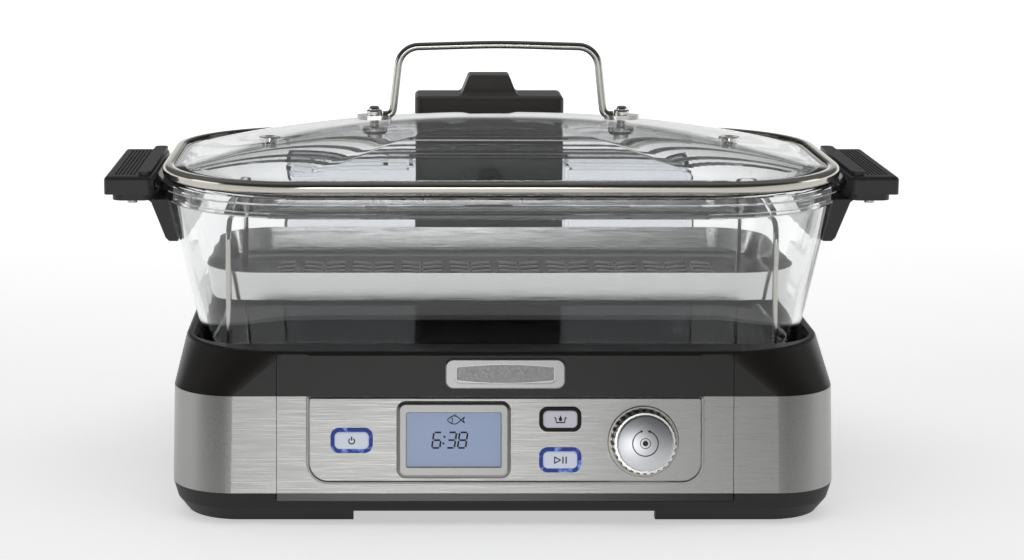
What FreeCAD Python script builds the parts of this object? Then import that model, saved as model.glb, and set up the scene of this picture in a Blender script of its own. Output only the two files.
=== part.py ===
import FreeCAD, Part
import math
import os
import re
import Sketcher
from FreeCAD import Vector

# Sizes in millimetres and degrees. The origin lies under the middle of the base, +Z up, front at -Y.
SIZES = {
    # Base
    "base_width": 364, "base_depth": 300, "corner": 34, "panel_tilt": 9, "wall": 3,
    "skirt_bottom": 1.5, "skirt_knee": 9, "skirt_height": 17.8, "skirt_inset": 8, "skirt_front_inset": 5.5,
    "arch_half": 82, "floor_low": 7.2, "floor_thick": 2.5,
    "foot_x": 148, "foot_y": 116, "foot_radius": 9, "foot_thick": 3.5,
    "post_x": 148, "post_y": 62, "post_radius": 5,
    "screw_radius": 1.75, "screw_head": 3.5, "screw_length": 12,
    "steel_height": 51.8, "steel_thick": 1.2, "steel_lean": 0.8,
    "seam": 123.6, "gap": 0.3, "slack": 0.1,
    "collar_height": 23.9, "collar_lean": 5.2, "collar_corner": 58,
    # Front panel, measured on the tilted plane from the lower edge of the steel
    "emboss_half": 106.5, "emboss_low": 6, "emboss_corner": 11, "emboss_rise": 1.2,
    "lip_height": 4.2, "lip_depth": 2,
    "display_x": -27.8, "display_y": 29.2, "window_width": 51.8, "window_height": 30.1,
    "bezel_width": 61.6, "bezel_height": 41.7, "bezel_rise": 2.2,
    "button_width": 18.2, "button_height": 9, "button_corner": 2.6, "button_travel": 0.7,
    "ring_margin": 2.3, "power_x": -82.8, "power_y": 28.8, "column_x": 29.7, "upper_y": 40.3, "lower_y": 18.3,
    "knob_x": 74.5, "knob_y": 28.3, "knob_radius": 17.2, "knob_face": 15.2, "knob_depth": 12.6,
    "dish_radius": 19.3, "flutes": 28, "flute_radius": 1.5, "shaft_radius": 2, "knob_push": 0.8,
    "badge_width": 64.8, "badge_height": 16.2, "badge_y": 64.8, "badge_corner": 4.6, "pad_rise": 0.6,
    "board_half": 104, "board_depth": 12.4, "board_thick": 1.6,
    # Glass pot
    "pot_y": -19, "pot_floor": 80, "pot_low_x": 166.4, "pot_low_y": 94.7, "pot_low_corner": 26,
    "pot_draft": 13.85, "rim_low": 166, "rim_top": 178.6, "glass": 4.5, "rim_out": 7.6,
    "lug_length": 80, "lug_out": 17, "lug_low": 170, "lug_thick": 4.5,
    "grip_length": 114, "grip_out": 27, "grip_thick": 10, "ridge_rise": 2.4, "leg_bottom": 141.3,
    "port_z": 150, "port_radius": 8,
    # Lid
    "lid_side_step": 4.70322, "lid_front_step": 5.00322, "lid_corner": 48, "lid_band": 6.3,
    "dome_rise": 22.4, "lid_glass": 4,
    "handle_half": 71.5, "handle_top": 247.7, "rod_radius": 2.25, "bar_half": 56.5, "leg_half": 61,
    "vent_x": 131, "vent_y": 22,
    # Tray
    "tray_side_gap": 0.9, "tray_front_gap": 20.7, "tray_back": 5, "tray_corner": 34,
    "tray_floor": 110.4, "tray_top": 129.6,
    "tray_sheet": 1.2, "tray_draft": 9, "slot_length": 12, "slot_width": 2.6, "slot_angle": 24,
    "slot_pitch": 14.5, "row_pitch": 12.5, "bail_inset": 14.9, "bail_top": 165, "wire_radius": 2,
    # Tank and steam tower
    "well_half": 132.5, "well_front": 105.5, "well_floor": 61, "tower_half": 47, "tower_depth": 17,
    "tower_front": 107, "tower_top": 190.5, "tank_half": 131, "tank_top": 159, "tank_wall": 2.5,
    "tank_back": 145, "cap_rise": 11, "hump_rise": 24.5, "hump_half": 12.6,
    "valve_x": 95, "valve_y": 127, "valve_radius": 6, "valve_travel": 1,
    # Steam generator, pump and pipes
    "boiler_y": 42, "boiler_radius": 34, "boiler_height": 44, "pipe_radius": 4.5, "pipe_bore": 3,
    "pipe_z": 40, "pump_radius": 13, "pump_length": 46, "tube_x": 30,
}

FASCIA_TOP = "(skirt_height + steel_height)"
DECK = "(skirt_height + steel_height + collar_height)"
FLOOR = "(floor_low + floor_thick)"
BACK = "(base_depth/2)"
RIM_SLOPE = "tan(pot_draft)"
RIM_OVER = f"((rim_low - pot_floor)*{RIM_SLOPE} + rim_out)"
RIM_EDGE = f"(pot_low_x + {RIM_OVER})"
# The lid stays inside the pot's rim, and the tray inside its walls
LID_X = f"({RIM_EDGE} - lid_side_step)"
LID_Y = f"(pot_low_y + {RIM_OVER} - lid_front_step)"
TRAY_X = "(pot_low_x - tray_side_gap)"
TRAY_Y = "(pot_low_y - tray_front_gap)"
# Half of what the knob stands out in front of the base, so that the origin is midway front to back
MIDWAY = "((knob_depth*cos(panel_tilt) - (knob_y - knob_face + 1)*sin(panel_tilt))/2)"

doc = FreeCAD.newDocument("FoodSteamer")
sheet = doc.addObject("Spreadsheet::Sheet", "Sizes")
for row, (alias, number) in enumerate(SIZES.items(), start=1):
    sheet.set(f"A{row}", alias)
    sheet.set(f"B{row}", str(number))
    sheet.setAlias(f"B{row}", alias)
doc.recompute()
PIECES = []


# Formulas name the cells of the sheet
def formula(text):
    def known(word):
        return "Sizes." + word.group() if word.group() in SIZES else word.group()
    return re.sub(r"[a-z_]+", known, str(text))


def value(text):
    return float(sheet.evalExpression(formula(text)))


def bind(item, path, text):
    item.setExpression(path, formula(text))


def front_at(height):
    return f"(-base_depth/2 + ({height} - skirt_height)*tan(panel_tilt))"


# Outlines drawn in a sketch, each size held by a constraint
def constrain(sketch, text, *relation):
    index = sketch.addConstraint(Sketcher.Constraint(*relation, value(text)))
    bind(sketch, f"Constraints[{index}]", text)


def pin_point(sketch, geometry, end, x, y):
    constrain(sketch, x, "DistanceX", -1, 1, geometry, end)
    constrain(sketch, y, "DistanceY", -1, 1, geometry, end)


def circle(x, y, radius):
    def draw(sketch):
        first = sketch.GeometryCount
        sketch.addGeometry(Part.Circle(Vector(value(x), value(y)), Vector(0, 0, 1), value(radius)))
        pin_point(sketch, first, 3, x, y)
        constrain(sketch, radius, "Radius", first)
    return draw


def polygon(*points):
    def draw(sketch):
        first = sketch.GeometryCount
        corners = [Vector(value(x), value(y)) for x, y in points]
        count = len(corners)
        for index in range(count):
            sketch.addGeometry(Part.LineSegment(corners[index], corners[(index + 1) % count]))
        for index, (x, y) in enumerate(points):
            following = first + (index + 1) % count
            sketch.addConstraint(Sketcher.Constraint("Coincident", first + index, 2, following, 1))
            pin_point(sketch, first + index, 1, x, y)
    return draw


def rectangle(x_low, x_high, y_low, y_high):
    return polygon((x_low, y_low), (x_high, y_low), (x_high, y_high), (x_low, y_high))


def rounded(x_low, x_high, y_low, y_high, near, far=None):
    """A rectangle with round corners: radius near at y_low, radius far at y_high."""
    far = near if far is None else far

    def draw(sketch):
        first = sketch.GeometryCount
        left, right, low, high = (value(text) for text in (x_low, x_high, y_low, y_high))
        small, large = value(near), value(far)
        sides = [
            ((left + small, low), (right - small, low)),
            ((right, low + small), (right, high - large)),
            ((right - large, high), (left + large, high)),
            ((left, high - large), (left, low + small)),
        ]
        corners = [
            (right - small, low + small, small, 270),
            (right - large, high - large, large, 0),
            (left + large, high - large, large, 90),
            (left + small, low + small, small, 180),
        ]
        for start, end in sides:
            sketch.addGeometry(Part.LineSegment(Vector(*start), Vector(*end)))
        for x, y, radius, angle in corners:
            ring = Part.Circle(Vector(x, y), Vector(0, 0, 1), radius)
            sketch.addGeometry(Part.ArcOfCircle(ring, math.radians(angle), math.radians(angle + 90)))
        for index in range(4):
            side, corner = first + index, first + 4 + index
            following = first + (index + 1) % 4
            sketch.addConstraint(Sketcher.Constraint("Tangent", side, 2, corner, 1))
            sketch.addConstraint(Sketcher.Constraint("Tangent", corner, 2, following, 1))
            sketch.addConstraint(Sketcher.Constraint("Vertical" if index % 2 else "Horizontal", side))
            constrain(sketch, far if index in (1, 2) else near, "Radius", corner)
        constrain(sketch, y_low, "DistanceY", -1, 1, first, 1)
        constrain(sketch, x_high, "DistanceX", -1, 1, first + 1, 1)
        constrain(sketch, y_high, "DistanceY", -1, 1, first + 2, 1)
        constrain(sketch, x_low, "DistanceX", -1, 1, first + 3, 1)
    return draw


def centred(x, y, width, height, radius):
    return rounded(f"{x} - ({width})/2", f"{x} + ({width})/2",
                   f"{y} - ({height})/2", f"{y} + ({height})/2", radius)


# Features of one piece; low and high are measured along the normal of the sketch plane
def piece(label):
    body = doc.addObject("PartDesign::Body", label)
    body.Label = label
    body.AllowCompound = True
    bind(body, "Placement.Base.y", MIDWAY)
    PIECES.append(body)
    return body


def sketch_on(body, plane, offset, *outlines):
    sketch = body.newObject("Sketcher::SketchObject", "Sketch")
    support = next(item for item in body.Origin.OriginFeatures if item.Role == plane + "_Plane")
    sketch.AttachmentSupport = (support, [""])
    sketch.MapMode = "FlatFace"
    bind(sketch, "AttachmentOffset.Base.z", offset)
    for outline in outlines:
        outline(sketch)
    return sketch


def volume_of(body):
    doc.recompute()
    return body.Shape.Volume


def add(body, low, high, *outlines, plane="XY"):
    pad = body.newObject("PartDesign::Pad", "Pad")
    pad.Profile = sketch_on(body, plane, low, *outlines)
    bind(pad, "Length", f"({high}) - ({low})")
    body.Tip = pad
    return pad


def cut(body, low, high, *outlines, plane="XY"):
    before = volume_of(body)
    pocket = body.newObject("PartDesign::Pocket", "Pocket")
    pocket.Profile = sketch_on(body, plane, low, *outlines)
    pocket.Reversed = True
    bind(pocket, "Length", f"({high}) - ({low})")
    body.Tip = pocket
    if volume_of(body) > before - 0.01:
        raise RuntimeError(f"a cut in {body.Label} removes nothing")
    return pocket


def loft(body, kind, sections, ruled=True):
    sketches = [sketch_on(body, "XY", height, outline) for height, outline in sections]
    feature = body.newObject(f"PartDesign::{kind}Loft", "Loft")
    feature.Profile = sketches[0]
    feature.Sections = sketches[1:]
    feature.Ruled = ruled
    body.Tip = feature
    return feature


def round_edges(body, radius, wanted):
    doc.recompute()
    feature = body.Tip
    names = [f"Edge{number}" for number, edge in enumerate(feature.Shape.Edges, start=1) if wanted(edge)]
    fillet = body.newObject("PartDesign::Fillet", "Fillet")
    fillet.Base = (feature, names)
    bind(fillet, "Radius", radius)
    body.Tip = fillet


def at_height(height):
    level = value(height)
    return lambda edge: max(abs(edge.BoundBox.ZMin - level), abs(edge.BoundBox.ZMax - level)) < 0.01


def upright(edge):
    return edge.BoundBox.XLength < 0.01 and edge.BoundBox.YLength < 0.01


def tilt(item, angle, y, z):
    """Turns an item about the X axis and sets its place."""
    item.Placement = FreeCAD.Placement(Vector(), FreeCAD.Rotation(Vector(1, 0, 0), value(angle)))
    bind(item, "Placement.Rotation.Angle", angle)
    bind(item, "Placement.Base.y", y)
    bind(item, "Placement.Base.z", z)


def on_panel(body):
    """The panel frame: x to the right, y up along the tilted front, z outwards from the steel."""
    tilt(body, "90 - panel_tilt", f"-base_depth/2 + {MIDWAY}", "skirt_height")


def mirrored_pair(x, y, radius):
    return circle(f"-({x})", y, radius), circle(x, y, radius)


# Outlines that several pieces share
def base_outline(inset, front, back, near, far):
    return rounded(f"-base_width/2 + {inset}", f"base_width/2 - ({inset})", front, back, near, far)


def steel_outline(height, inset):
    lean = f"(steel_lean*({height} - skirt_height)/steel_height + {inset})"
    corner = f"corner - {inset}"
    return base_outline(lean, f"{front_at(height)} + {inset}", f"{BACK} - {inset}", corner, corner)


def collar_outline(height, inset):
    share = f"(({height} - {FASCIA_TOP})/collar_height)"
    lean = f"(steel_lean + collar_lean*{share} + {inset})"
    near = f"(corner + (collar_corner - corner)*{share} - {inset})"
    return base_outline(lean, f"{front_at(height)} + {inset}", f"{BACK} - {inset}", near, f"corner - {inset}")


def pot_outline(height, inset="0"):
    grow = f"(({height} - pot_floor)*{RIM_SLOPE} - ({inset}))"
    return rounded(f"-pot_low_x - {grow}", f"pot_low_x + {grow}", f"pot_y - pot_low_y - {grow}",
                   f"pot_y + pot_low_y + {grow}", f"pot_low_corner + {grow}")


def lid_outline(share, inset="0"):
    x, y = f"({LID_X} - {inset})*{share}", f"({LID_Y} - {inset})*{share}"
    return rounded(f"-{x}", x, f"pot_y - {y}", f"pot_y + {y}", f"(lid_corner - {inset})*{share}")


def tray_outline(inset):
    middle = "(pot_y - tray_back)"
    return rounded(f"-{TRAY_X} + {inset}", f"{TRAY_X} - ({inset})", f"{middle} - {TRAY_Y} + {inset}",
                   f"{middle} + {TRAY_Y} - ({inset})", f"tray_corner - ({inset})")


# Lower housing, feet and screws
FOOT_SPOTS = [(x, y) for x in ("-foot_x", "foot_x") for y in ("-foot_y", "foot_y")]
POST_SPOTS = [(x, y) for x in ("-post_x", "post_x") for y in ("-post_y", "post_y")]


def bottom_housing():
    body = piece("bottom_housing")
    loft(body, "Additive", [
        ("skirt_bottom", base_outline("skirt_inset", "-base_depth/2 + skirt_front_inset",
                                      f"{BACK} - skirt_front_inset", "corner - 4", "corner - 4")),
        ("skirt_knee", base_outline("skirt_inset*0.3", "-base_depth/2 + skirt_front_inset*0.3",
                                    f"{BACK} - skirt_front_inset*0.3", "corner - 1", "corner - 1")),
        ("skirt_height", base_outline("0", "-base_depth/2", BACK, "corner", "corner")),
    ])
    inner, under = "wall*1.5", "skirt_inset + wall"
    cut(body, FLOOR, "skirt_height", base_outline(inner, f"-base_depth/2 + {inner}", f"{BACK} - {inner}",
                                                  f"corner - {inner}", f"corner - {inner}"))
    cut(body, "0", "floor_low", base_outline(under, f"-base_depth/2 + {under}", f"{BACK} - ({under})",
                                             "corner - 10", "corner - 10"))
    cut(body, "0", "floor_low", rectangle("-arch_half", "arch_half", "-base_depth", "base_depth"))
    add(body, "skirt_bottom", "floor_low", *[circle(x, y, "foot_radius + wall") for x, y in FOOT_SPOTS])
    cut(body, "0", "foot_thick", *[circle(x, y, "foot_radius + slack") for x, y in FOOT_SPOTS])
    cut(body, "floor_low", FLOOR, *[circle(x, y, "screw_radius + slack") for x, y in POST_SPOTS])
    notch = "seam + gap"
    cut(body, "skirt_height - lip_height - 0.6", "skirt_height",
        rectangle(f"-({notch})", notch, "-base_depth", f"-base_depth/2 + {inner} + 1"))


def rubber_feet():
    body = piece("rubber_feet")
    add(body, "0", "foot_thick", *[circle(x, y, "foot_radius") for x, y in FOOT_SPOTS])
    round_edges(body, "0.8", at_height("0"))


def base_screws():
    body = piece("base_screws")
    add(body, "floor_low - 2", "floor_low", *[circle(x, y, "screw_head") for x, y in POST_SPOTS])
    add(body, "floor_low", "floor_low + screw_length", *[circle(x, y, "screw_radius") for x, y in POST_SPOTS])


# Stainless side panels, which wrap round the front and rear corners
def side_panel(label, side):
    body = piece(label)
    loft(body, "Additive", [("skirt_height", steel_outline("skirt_height", "0")),
                            (FASCIA_TOP, steel_outline(FASCIA_TOP, "0"))])
    loft(body, "Subtractive", [("skirt_height", steel_outline("skirt_height", "steel_thick")),
                               (FASCIA_TOP, steel_outline(FASCIA_TOP, "steel_thick"))])
    open_side = ("-seam", "base_width") if side < 0 else ("-base_width", "seam")
    cut(body, "skirt_height", FASCIA_TOP, rectangle(*open_side, "-base_depth", "base_depth"))


def rear_cover():
    body = piece("rear_cover")
    edge = "seam - gap"
    add(body, "-base_depth/2", "-base_depth/2 + wall",
        rectangle(f"-({edge})", edge, "skirt_height", FASCIA_TOP), plane="XZ")
    slots = [centred(f"58 + {index}*8", "44", "3.2", "26", "1.5") for index in range(7)]
    cut(body, "-base_depth/2 - 1", "-base_depth/2 + wall + 1", *slots, circle("-90", "38", "7.1"), plane="XZ")


def cord_gland():
    body = piece("cord_gland")
    add(body, "-base_depth/2", "-base_depth/2 + 9", circle("-90", "38", "7"), plane="XZ")
    add(body, "-base_depth/2 + wall", "-base_depth/2 + wall + 2", circle("-90", "38", "9.5"), plane="XZ")
    cut(body, "-base_depth/2 - 1", "-base_depth/2 + 10", circle("-90", "38", "3.8"), plane="XZ")


# Collar: the dark upper housing, open over the pot seat and over the tank well
def collar_shell(body):
    loft(body, "Additive", [(FASCIA_TOP, collar_outline(FASCIA_TOP, "0")), (DECK, collar_outline(DECK, "0"))])
    under = f"({DECK} - wall)"
    loft(body, "Subtractive", [(FASCIA_TOP, collar_outline(FASCIA_TOP, "wall")),
                               (under, collar_outline(under, "wall"))])


def collar():
    body = piece("collar")
    collar_shell(body)
    round_edges(body, "1.8", at_height(DECK))
    cut(body, f"{DECK} - wall*2", f"{DECK} + 1", pot_outline(DECK, "-2"))
    cut(body, f"{DECK} - wall*2", f"{DECK} + 1",
        rectangle("-well_half", "well_half", "well_front", f"{BACK} - wall"))
    cut(body, f"{FASCIA_TOP} - 1", f"{DECK} + 1", rectangle(
        "-seam", "seam", "-base_depth", f"{front_at(DECK)} + wall"))


def collar_front():
    body = piece("collar_front")
    collar_shell(body)
    round_edges(body, "1.8", at_height(DECK))
    edge = "seam - gap"
    cut(body, f"{FASCIA_TOP} - 1", f"{DECK} + 1", rectangle(
        "-base_width", "base_width", f"{front_at(DECK)} + wall - gap", "base_depth"))
    cut(body, f"{FASCIA_TOP} - 1", f"{DECK} + 1",
        rectangle("-base_width", f"-({edge})", "-base_depth", "base_depth"),
        rectangle(edge, "base_width", "-base_depth", "base_depth"))
    levels = ((FASCIA_TOP, "pad_rise"), (f"({DECK} - 2)", "pad_rise"), (f"({DECK} - 1)", "-0.3"))
    loft(body, "Additive", [(height, rectangle("-emboss_half", "emboss_half", f"{front_at(height)} - {rise}",
                                               f"{front_at(height)} + 1.5")) for height, rise in levels])


def badge_plate():
    body = piece("badge_plate")
    on_panel(body)
    add(body, "pad_rise", "2.4", centred("0", "badge_y", "badge_width", "badge_height", "badge_corner"))
    round_edges(body, "0.8", at_panel("2.4"))
    cut(body, "1.5", "2.6", centred("0", "badge_y", "badge_width - 9", "badge_height - 5.4", "4.4"))


def at_panel(depth):
    """Edges of a piece in the panel frame that lie at one distance from the steel."""
    level = value(depth)

    def wanted(edge):
        return max(abs(edge.BoundBox.ZMin - level), abs(edge.BoundBox.ZMax - level)) < 0.01
    return wanted


# Seat tub with its screw posts
def seat_liner():
    body = piece("seat_liner")
    top, floor = f"({DECK} - wall)", "(pot_floor - 0.3)"
    loft(body, "Additive", [(f"{floor} - wall", pot_outline(f"{floor} - wall", "-3.4")),
                            (top, pot_outline(top, "-3.4"))])
    loft(body, "Subtractive", [(floor, pot_outline(floor, "-1.6")), (top, pot_outline(top, "-1.6"))])
    add(body, FLOOR, f"{floor} - wall", *[circle(x, y, "post_radius") for x, y in POST_SPOTS])
    cut(body, FLOOR, f"{FLOOR} + screw_length",
        *[circle(x, y, "screw_radius + slack/2") for x, y in POST_SPOTS])


def tank_well():
    body = piece("tank_well")
    top = f"({DECK} - wall)"
    back = f"({BACK} - wall)"
    add(body, "well_floor - wall", top, rectangle("-well_half - 2", "well_half + 2", "well_front - 2", back))
    cut(body, "well_floor", top, rectangle("-well_half", "well_half", "well_front", f"{back} - 1.6"))
    cut(body, "well_floor - wall", "well_floor", circle("valve_x", "valve_y", "valve_radius + 5"),
        circle("0", "tower_front + tower_depth/2", "pipe_radius + 1"))


def tank_socket():
    body = piece("tank_socket")
    top = "(well_floor - wall)"
    add(body, "pipe_z - 8", top, circle("valve_x", "valve_y", "valve_radius + 7"))
    cut(body, "pipe_z - 5", top, circle("valve_x", "valve_y", "valve_radius + 4.4"))
    add(body, "pipe_z - 5", "50.1", circle("valve_x", "valve_y", "1.6"))
    cut(body, "valve_x - 30", "valve_x - 2", circle("valve_y", "pipe_z", "pipe_bore"), plane="YZ")


# Steam tower behind the pot
def tower_shell():
    body = piece("tower_shell")
    front, back = "tower_front", "tower_front + tower_depth"
    add(body, "well_floor", "tower_top", rounded("-tower_half", "tower_half", front, back, "4", "1"))
    cut(body, "well_floor", "tower_top - 2.5",
        rectangle("-tower_half + 2.5", "tower_half - 2.5", f"{front} + 2.5", f"{back} - 2"))
    cut(body, "-tower_front - 5", "-tower_front + 1", circle("0", "port_z - 3.8", "port_radius"), plane="XZ")


# Front panel in its tilted frame
def button_spots():
    return {"power_button": ("power_x", "power_y"), "tray_button": ("column_x", "upper_y"),
            "start_button": ("column_x", "lower_y")}


def button_outlines(grow, corner_grow="0"):
    width, height = f"button_width + {grow}", f"button_height + {grow}"
    corner = f"button_corner + {corner_grow}"
    return [centred(x, y, width, height, corner) for x, y in button_spots().values()]


def front_fascia():
    body = piece("front_fascia")
    on_panel(body)
    edge, top = "seam - gap", "(steel_height/cos(panel_tilt))"
    add(body, "-steel_thick", "0", rectangle(f"-({edge})", edge, "0", top))
    add(body, "0", "emboss_rise",
        rounded("-emboss_half", "emboss_half", "emboss_low", f"{top} - 0.2", "emboss_corner", "2"))
    round_edges(body, "emboss_rise*0.9", at_panel("emboss_rise"))
    cut(body, "-steel_thick", "-steel_thick + emboss_rise", rounded(
        "-emboss_half + 2", "emboss_half - 2", "emboss_low + 2", f"{top} - 2", "emboss_corner - 2"))
    through = ("-steel_thick - 1", "emboss_rise + 1")
    cut(body, *through, centred("display_x", "display_y", "bezel_width - 4", "bezel_height - 4", "2"),
        circle("knob_x", "knob_y", "dish_radius - 0.8"), *button_outlines("ring_margin*2 - 1", "1.6"))


def panel_carrier():
    body = piece("panel_carrier")
    on_panel(body)
    edge, top = "seam - gap", "(steel_height/cos(panel_tilt) - 1)"
    back = "-steel_thick - 2"
    add(body, back, "-steel_thick", rectangle(f"-({edge})", edge, "0", top))
    add(body, "-lip_depth", "0", rectangle(f"-({edge})", edge, "-lip_height", "-0.1"))
    add(body, "-lip_depth - 1.2", "-lip_depth + 0.4", rectangle(f"-({edge})", edge, "-2", "0.1"))
    cut(body, f"{back} - 1", "-steel_thick",
        centred("display_x", "display_y", "bezel_width - 3", "bezel_height - 3", "2"),
        circle("knob_x", "knob_y", "dish_radius"), *button_outlines("ring_margin*2 + 1", "1"))
    for x in ("-board_half + 4", "board_half - 4"):
        add(body, "-board_depth", back, circle(x, "steel_height/2", "3"))


def window_outline(grow, radius):
    return centred("display_x", "display_y", f"window_width + {grow}", f"window_height + {grow}", radius)


def display_bezel():
    body = piece("display_bezel")
    on_panel(body)
    face = "emboss_rise + bezel_rise"
    add(body, "emboss_rise", face, centred("display_x", "display_y", "bezel_width", "bezel_height", "5"))
    round_edges(body, "bezel_rise*0.9", at_panel(face))
    add(body, "-3", "emboss_rise",
        centred("display_x", "display_y", "bezel_width - 4.4", "bezel_height - 4.4", "1.8"))
    cut(body, "-4", "emboss_rise + 0.4", window_outline("2", "1"))
    cut(body, "-4", f"{face} + 1", window_outline("0", "1.2"))


def display_stack():
    window = piece("display_window")
    on_panel(window)
    add(window, "-0.4", "emboss_rise + 0.4", window_outline("1.8", "0.9"))
    glass = piece("lcd_glass")
    on_panel(glass)
    add(glass, "-2.6", "-0.4", window_outline("1.4", "0.6"))
    box = piece("backlight_box")
    on_panel(box)
    add(box, "-board_depth", "-2.6", window_outline("1", "0.6"))


def control_board():
    body = piece("control_board")
    on_panel(body)
    add(body, "-board_depth - board_thick", "-board_depth",
        rectangle("-board_half", "board_half", "3", "steel_height - 4"))


def tact_switches():
    body = piece("tact_switches")
    on_panel(body)
    for x, y in button_spots().values():
        add(body, "-board_depth", "-board_depth + 4.2", centred(x, y, "6", "6", "0.4"))
        add(body, "-board_depth + 4.2", "-board_depth + 5", circle(x, y, "1.7"))


def button_rings():
    body = piece("button_rings")
    on_panel(body)
    add(body, "emboss_rise", "emboss_rise + 0.9", *button_outlines("ring_margin*2", "2"))
    round_edges(body, "0.4", at_panel("emboss_rise + 0.9"))
    add(body, "-1.9", "emboss_rise", *button_outlines("ring_margin*2 - 1.2", "1.5"))
    cut(body, "-3", "emboss_rise + 2", *button_outlines("0.4", "0.2"))


def button(label, x, y):
    body = piece(label)
    on_panel(body)
    face = "emboss_rise + 1.4"
    add(body, "-2.2", face, centred(x, y, "button_width", "button_height", "button_corner"))
    round_edges(body, "0.6", at_panel(face))
    add(body, "-3.4", "-2.2", centred(x, y, "button_width + 1.8", "button_height + 1.8", "button_corner"))
    add(body, "-board_depth + 5 + button_travel + 0.1", "-3.4", circle(x, y, "2.2"))


# Knob and its switch
def knob_ring():
    body = piece("knob_ring")
    on_panel(body)
    add(body, "-3.4", "emboss_rise", circle("knob_x", "knob_y", "dish_radius - 0.9"))
    add(body, "emboss_rise", "emboss_rise + 0.8", circle("knob_x", "knob_y", "dish_radius"))
    round_edges(body, "0.5", at_panel("emboss_rise + 0.8"))
    cut(body, "-2.4", "emboss_rise + 2", circle("knob_x", "knob_y", "knob_radius + 0.7"))
    cut(body, "-4", "-2.4", circle("knob_x", "knob_y", "4.6"))


def encoder():
    body = piece("encoder_body")
    on_panel(body)
    add(body, "-board_depth", "-6", centred("knob_x", "knob_y", "12.4", "13", "0.6"))
    add(body, "-6", "-2.6", circle("knob_x", "knob_y", "4.2"))
    cut(body, "-board_depth + 0.8", "-2.6", circle("knob_x", "knob_y", "3.3"))
    sleeve = piece("encoder_sleeve")
    on_panel(sleeve)
    add(sleeve, "-board_depth + 0.85", "-2.7", circle("knob_x", "knob_y", "3.22"))
    cut(sleeve, "-board_depth + 1.4", "-2.7", circle("knob_x", "knob_y", "shaft_radius + 0.06"))
    shaft = piece("encoder_shaft")
    on_panel(shaft)
    add(shaft, "-board_depth + 1.6 + knob_push", "8", circle("knob_x", "knob_y", "shaft_radius"))


def knob_grip():
    body = piece("knob_grip")
    on_panel(body)
    add(body, "-0.9", "knob_depth - 1.4", circle("knob_x", "knob_y", "knob_radius"))
    round_edges(body, "1", at_panel("knob_depth - 1.4"))
    flute = cut(body, "-2", "knob_depth", circle("knob_x + knob_radius + 0.4", "knob_y", "flute_radius"))
    body_axis = body.newObject("PartDesign::Line", "KnobAxis")
    bind(body_axis, "Placement.Base.x", "knob_x")
    bind(body_axis, "Placement.Base.y", "knob_y")
    pattern = body.newObject("PartDesign::PolarPattern", "Flutes")
    pattern.Originals = [flute]
    pattern.Axis = (body_axis, [""])
    pattern.Angle = 360
    bind(pattern, "Occurrences", "flutes")
    body.Tip = pattern
    cut(body, "-1", "4", circle("knob_x", "knob_y", "knob_radius - 3"))
    cut(body, "4", "8", circle("knob_x", "knob_y", "shaft_radius + 0.03"))
    cut(body, "knob_depth - 2.6", "knob_depth", circle("knob_x", "knob_y", "knob_face"))


def knob_face():
    body = piece("knob_face")
    on_panel(body)
    add(body, "knob_depth - 2.6", "knob_depth", circle("knob_x", "knob_y", "knob_face - 0.05"))
    round_edges(body, "0.9", at_panel("knob_depth"))


# Glass pot with stepped rim, end lugs and steam port
def place_at_port(item, shift="0"):
    """The frame of the steam port: square to the rear glass, z outwards from its outer face."""
    tilt(item, "-(90 + pot_draft)", f"pot_y + pot_low_y + (port_z - pot_floor)*{RIM_SLOPE} + {shift}", "port_z")


def glass_pot():
    body = piece("glass_pot")
    bind(add(body, "pot_floor", "rim_low", pot_outline("pot_floor")), "TaperAngle", "pot_draft")
    round_edges(body, "11", at_height("pot_floor"))
    for low, high, back in (("rim_low", "rim_low + 2.4", "5.2"), ("rim_low + 2.4", "rim_low + 7.6", "1.7"),
                            ("rim_low + 7.6", "rim_top", "0")):
        add(body, low, high, pot_outline("rim_low", f"{back} - rim_out"))
    round_edges(body, "1.6", at_height("rim_top"))
    for height in ("rim_low", "rim_low + 2.4", "rim_low + 7.6"):
        round_edges(body, "0.7", at_height(height))
    reach = f"pot_low_x + (rim_low - pot_floor)*{RIM_SLOPE} + rim_out + lug_out"
    add(body, "lug_low", "lug_low + lug_thick",
        rounded(f"-({reach})", reach, "pot_y - lug_length/2", "pot_y + lug_length/2", "6"))
    inside = "(pot_floor + glass)"
    bind(cut(body, inside, "rim_top", pot_outline(inside, "glass")), "TaperAngle", "pot_draft")
    round_edges(body, "7", at_height(inside))
    pot_port(body)


def pot_port(body):
    """A short round boss across the rear wall, bored for the steam seal."""
    doc.recompute()
    boss = body.newObject("PartDesign::Plane", "PortPlane")
    place_at_port(boss)
    sketch = body.newObject("Sketcher::SketchObject", "Sketch")
    sketch.AttachmentSupport = (boss, [""])
    sketch.MapMode = "FlatFace"
    circle("0", "0", "port_radius")(sketch)
    pocket = body.newObject("PartDesign::Pocket", "Port")
    pocket.Profile = sketch
    pocket.Midplane = True
    bind(pocket, "Length", "glass*4")
    body.Tip = pocket


def steam_seal():
    body = piece("steam_seal")
    place_at_port(body, MIDWAY)
    add(body, "-glass - 2", "0.9", circle("0", "0", "port_radius - slack/2"))
    cut(body, "-glass - 3", "2", circle("0", "0", "pipe_bore + 1"))


def steam_nozzle():
    body = piece("steam_nozzle")
    place_at_port(body, MIDWAY)
    add(body, "1.2", "16", circle("0", "0", "port_radius - 1"))
    cut(body, "0", "17", circle("0", "0", "pipe_bore + 1"))


# Pot handles: upper grip, lower bracket with its leg, two screws each
def handle_sides():
    return (("left", -1), ("right", 1))


def spread(side, near, far, y_low, y_high, radius):
    """A round-cornered outline between two distances from the middle plane, on the side asked for."""
    if side < 0:
        return rounded(f"-({far})", f"-({near})", y_low, y_high, radius)
    return rounded(near, far, y_low, y_high, radius)


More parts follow.
